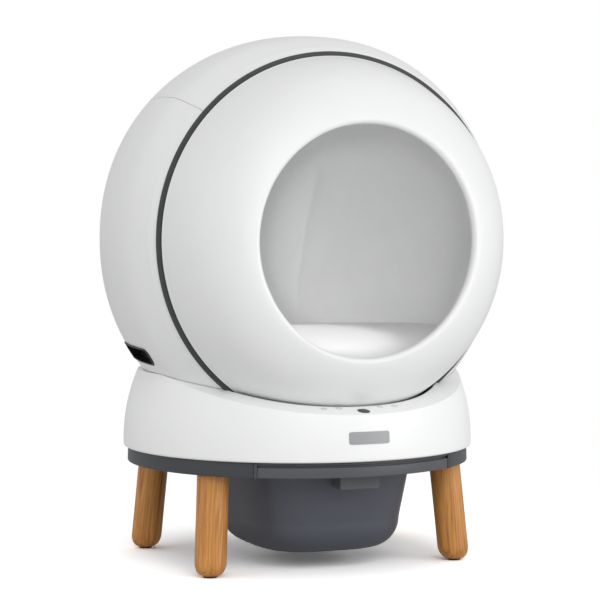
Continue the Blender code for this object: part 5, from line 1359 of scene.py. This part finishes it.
def make_rubber():
    """Black rubber with a pebbled skin and a chalky bloom."""
    material, tree, shader, where = new_material("black rubber")
    pebbles = cells(tree, where, 1100.0, "SMOOTH_F1")
    bloom = spread(tree, noise(tree, where, 120.0, 5.0, 0.6), 0.45, 0.70, 0.0, 1.0)
    black = mixed(tree, bloom, (0.018, 0.018, 0.019, 1.0), (0.050, 0.050, 0.052, 1.0))
    join(tree, black, shader["Base Color"])
    join(tree, maths(tree, "MULTIPLY_ADD", bloom, 0.18, 0.66), shader["Roughness"])
    add_relief(tree, shader, 0.0004, pebbles, 0.00006)
    return material


def make_steel():
    """Plated steel, drawn along Y, with cloudy patches in its shine."""
    material, tree, shader, where = new_material("plated steel")
    metal = use(tree, brushed_metal, {"Vector": where})
    colour = mixed(tree, metal["Patches"], (0.66, 0.66, 0.67, 1.0), (0.48, 0.48, 0.50, 1.0))
    join(tree, colour, shader["Base Color"])
    gloss = maths(tree, "MULTIPLY_ADD", metal["Lines"], 0.16, 0.18)
    join(tree, maths(tree, "MULTIPLY_ADD", metal["Patches"], 0.12, gloss), shader["Roughness"])
    add_relief(tree, shader, 0.0003, metal["Lines"], 0.000006)
    shader["Metallic"].default_value = 1.0
    return material


def make_circuit():
    """A circuit board: woven glass under green lacquer, with tracks on a fine lattice and tinned dots."""
    material, tree, shader, where = new_material("circuit board")
    lattice = add(tree, "TexBrick", {
        "Vector": where,
        "Color1": (1.0, 1.0, 1.0, 1.0),
        "Color2": (0.0, 0.0, 0.0, 1.0),
        "Mortar": (0.4, 0.4, 0.4, 1.0),
        "Scale": 120.0,
        "Mortar Size": 0.03,
    }).outputs["Color"]
    tinned = spread(tree, cells(tree, where, 260.0), 0.16, 0.20, 1.0, 0.0)
    weave = noise(tree, scaled(tree, where, (1.0, 0.2, 1.0)), 2400.0, 2.0)
    green = mixed(tree, weave, (0.010, 0.075, 0.030, 1.0), (0.016, 0.110, 0.045, 1.0))
    tracks = mixed(tree, maths(tree, "MULTIPLY", lattice, 0.45), green, (0.060, 0.160, 0.060, 1.0))
    join(tree, mixed(tree, tinned, tracks, (0.62, 0.62, 0.60, 1.0)), shader["Base Color"])
    join(tree, maths(tree, "MULTIPLY_ADD", weave, 0.15, 0.24), shader["Roughness"])
    join(tree, tinned, shader["Metallic"])
    add_relief(tree, shader, 0.0002, tinned, 0.00005)
    return material


def make_charcoal():
    """Filter foam filled with charcoal: open cells with painted shade in their pits, and glinting grains."""
    material, tree, shader, where = new_material("charcoal foam")
    pit_depth_and_shade = spread(tree, cells(tree, where, 420.0, "DISTANCE_TO_EDGE"), 0.02, 0.22, 0.0, 1.0)
    grains = spread(tree, noise(tree, where, 2200.0, 2.0), 0.62, 0.72, 0.0, 1.0)
    # Painted shade: the foam's colour goes darker towards the middle of each cell, where the bump sinks the
    # pits.
    foam = mixed(tree, pit_depth_and_shade, (0.050, 0.050, 0.052, 1.0), (0.008, 0.008, 0.009, 1.0))
    join(tree, mixed(tree, grains, foam, (0.12, 0.12, 0.13, 1.0)), shader["Base Color"])
    join(tree, maths(tree, "MULTIPLY_ADD", grains, -0.45, 0.90), shader["Roughness"])
    add_relief(tree, shader, 0.0004, maths(tree, "MULTIPLY", pit_depth_and_shade, -1.0), 0.0006)
    return material


# What each piece is made of, rides on and stands for
def dress(piece, body, slot, finish, *nodes):
    """Gives a piece its finish, says which body it moves with, and hides the nodes that it stands for."""
    piece.data.materials.clear()
    piece.data.materials.append(finish)
    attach(piece, body)
    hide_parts(*nodes)


def coat(finish, *nodes):
    """Puts a finish on plain nodes that stay as they are."""
    for name in nodes:
        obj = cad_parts[name]
        for slot in obj.material_slots:
            slot.link = "OBJECT"
            slot.material = finish


def dress_globe():
    """The drum, the housing round it, and the base that carries them."""
    shell, liner = make_shell_white(), make_liner_white()
    dress(make_drum_front(), "drum", "white_plastic", shell, "drum_front_shell")
    dress(make_drum_rear(), "drum", "white_plastic", shell, "drum_rear_shell")
    dress(make_joint_ring(), "drum", "dark_plastic", make_ring_dark(), "drum_joint_ring")
    dress(make_liner(), "drum", "liner_plastic", liner, "drum_liner_front", "drum_liner_rear")
    dress(make_sifter(), "drum", "liner_plastic", liner, "sifter_panel")
    dress(make_deck(), "drum", "liner_plastic", make_deck_white(), "litter_deck")
    dress(make_housing_body(), "stand", "white_plastic", shell, "housing_body")
    dress(make_housing_cover(), "top_cover", "white_plastic", shell, "housing_top_cover")
    dress(make_base(), "stand", "white_plastic", make_base_white(), "base_shell")
    black = make_cup_black()
    for word, side in SIDES.items():
        dress(make_cup(word, side), "stand", "black_plastic", black, f"grip_cup_{word}")


def dress_controls():
    """What sits in the base's holes and on its front."""
    cap, guide = make_button_white(), make_light_clear()
    for number, x in enumerate(BUTTON_PLACES, start=1):
        dress(make_button(number, x), f"button_{number}", "white_plastic", cap, f"button_{number}")
        dress(make_light_pipe(number, x), "stand", "light_pipe", guide, f"light_pipe_{number}")
    dress(make_window(), "stand", "black_plastic", make_lens_black(), "sensor_window")
    dress(make_name_plate(), "stand", "plate_grey", make_plate_grey(), "name_plate_blank")
    dress(make_inlet(), "stand", "black_plastic", make_cup_black(), "power_inlet")


def dress_stand():
    """The platform, the drawer with its bin, and the legs."""
    slate = make_drawer_slate()
    dress(make_platform(), "stand", "dark_plastic", make_frame_slate(), "platform")
    dress(make_drawer(), "drawer", "dark_plastic", slate, "drawer_frame")
    dress(make_grip(), "drawer", "dark_plastic", slate, "bin_grip")
    dress(make_bin(), "drawer", "slate_plastic", make_bin_slate(), "waste_bin")
    rubber = make_rubber()
    for number, (word, corner) in enumerate(CORNERS.items()):
        dress(make_leg(word, corner), "stand", "oiled_wood", make_oiled_wood(number), f"leg_{word}")
        dress(make_foot_pad(word, corner), "stand", "black_rubber", rubber, f"foot_pad_{word}")


def coat_works():
    """The pieces inside, which keep their plain form."""
    works, steel, rubber = make_works_dark(), make_steel(), make_rubber()
    coat(works, "drop_chute", "gearbox", "ring_gear", "homing_sensor")
    coat(works, *(f"roller_cradle_{word}" for word in SIDES))
    coat(steel, "drive_motor", "drive_pinion", "homing_magnet", "motor_bracket")
    coat(steel, *(f"{kind}_{word}" for kind in ("drawer_runner", "roller_axle") for word in SIDES))
    coat(steel, *(f"leg_stud_{word}" for word in CORNERS))
    coat(rubber, *(f"roller_{word}_{end}" for word in SIDES for end in ("front", "rear")))
    coat(make_circuit(), "button_board", "control_board")
    coat(make_charcoal(), "carbon_filter")


# Floor, light and camera
def seen_white(tree, shade, share):
    """A shader that camera rays see turn to plain white by a share, so that the far floor reads as paper."""
    ray = add(tree, "LightPath").outputs["Is Camera Ray"]
    paper = add(tree, "Emission", {"Color": (1.0, 1.0, 1.0, 1.0)}).outputs[0]
    return add(tree, "MixShader", {0: maths(tree, "MULTIPLY", ray, share), 1: shade, 2: paper}).outputs[0]


def make_floor():
    """A wide level floor of paper, which the camera sees as paler than the light that it throws back."""
    radius = np.linspace(0, FLOOR_RADIUS, SHORT_ROWS)
    across, along = loop_of(radius, MIDDLE_STEPS)
    points = np.stack([across, along, np.full_like(across, -FLOOR_DROP)], axis=-1)
    floor = grid_piece("studio_floor", points)
    if floor.data.polygons[0].normal.z < 0:
        floor.data.flip_normals()
    material, tree, _, where = new_material("studio paper")
    tint = mixed(tree, noise(tree, where, 3.0), FLOOR_SEEN_LOW, FLOOR_SEEN_HIGH)
    ray = add(tree, "LightPath").outputs["Is Camera Ray"]
    matt = add(tree, "BsdfDiffuse", {"Color": mixed(tree, ray, FLOOR_BOUNCE, tint)}).outputs[0]
    reach = add(tree, "VectorMath", {0: where}, operation="LENGTH").outputs["Value"]
    far = add(tree, "MapRange", {
        "Value": reach,
        "From Min": FLOOR_NEAR,
        "From Max": FLOOR_FAR,
    }, interpolation_type="SMOOTHSTEP").outputs["Result"]
    join(tree, seen_white(tree, matt, far), tree.nodes["Material Output"].inputs["Surface"])
    floor.data.materials.append(material)


def make_sky():
    """White to the camera, and a little dimmer as a light."""
    world = bpy.data.worlds.new("studio")
    world.use_nodes = True
    bpy.context.scene.world = world
    tree = world.node_tree
    ray = add(tree, "LightPath").outputs["Is Camera Ray"]
    level = spread(tree, ray, 0.0, 1.0, SKY_LEVEL, 1.0)
    background = tree.nodes["Background"]
    background.inputs["Color"].default_value = (1.0, 1.0, 1.0, 1.0)
    join(tree, level, background.inputs["Strength"])


def aim(obj, point, azimuth, elevation, distance):
    """Puts an object at a distance from a point, off the front by two angles in degrees, and faces it."""
    turn, lift = math.radians(azimuth), math.radians(elevation)
    away = Vector((math.sin(turn) * math.cos(lift), -math.cos(turn) * math.cos(lift), math.sin(lift)))
    obj.location = Vector(point) + away * distance
    obj.rotation_euler = away.to_track_quat("Z", "Y").to_euler()


def make_lamp(name, azimuth, elevation, distance, width, power):
    """A square soft lamp that faces the middle of the object."""
    lamp = bpy.data.lights.new(name, "AREA")
    lamp.size = width
    lamp.energy = power
    aim(linked(name, lamp), AIM_POINT, azimuth, elevation, distance)


def make_beam(name, azimuth, elevation, width, power):
    """A round lamp with a nearly parallel beam through the entrance, which lights the drum's inside."""
    lamp = bpy.data.lights.new(name, "AREA")
    lamp.shape = "DISK"
    lamp.spread = BEAM_SPREAD
    lamp.size = width
    lamp.energy = power
    aim(linked(name, lamp), BEAM_POINT, azimuth, elevation, BEAM_DISTANCE)


def make_camera():
    """The photograph's own viewing angle and distance."""
    camera = bpy.data.cameras.new("camera")
    camera.lens = LENS
    camera.sensor_width = SENSOR
    obj = linked("camera", camera)
    aim(obj, AIM_POINT, VIEW_AZIMUTH, VIEW_ELEVATION, VIEW_DISTANCE)
    bpy.context.scene.camera = obj


moulded_skin = make_moulded_group()
settled_dust = make_dust_group()
worn_edges = make_wear_group()
soft_relief = make_relief_group()
oiled_wood = make_wood_group()
brushed_metal = make_brushed_group()

dress_globe()
dress_controls()
dress_stand()
coat_works()

make_floor()
make_sky()
make_lamp("front", azimuth=-10, elevation=30, distance=3.4, width=2.0, power=28)
make_lamp("key", azimuth=40, elevation=5, distance=3.2, width=1.8, power=27)
make_lamp("fill", azimuth=-85, elevation=10, distance=3.4, width=2.2, power=8)
make_beam("floor_beam", azimuth=0, elevation=35, width=0.20, power=0.072)
make_beam("wall_beam", azimuth=-24, elevation=1.5, width=0.30, power=0.034)
make_camera()
bpy.context.scene.view_settings.view_transform = "Standard"
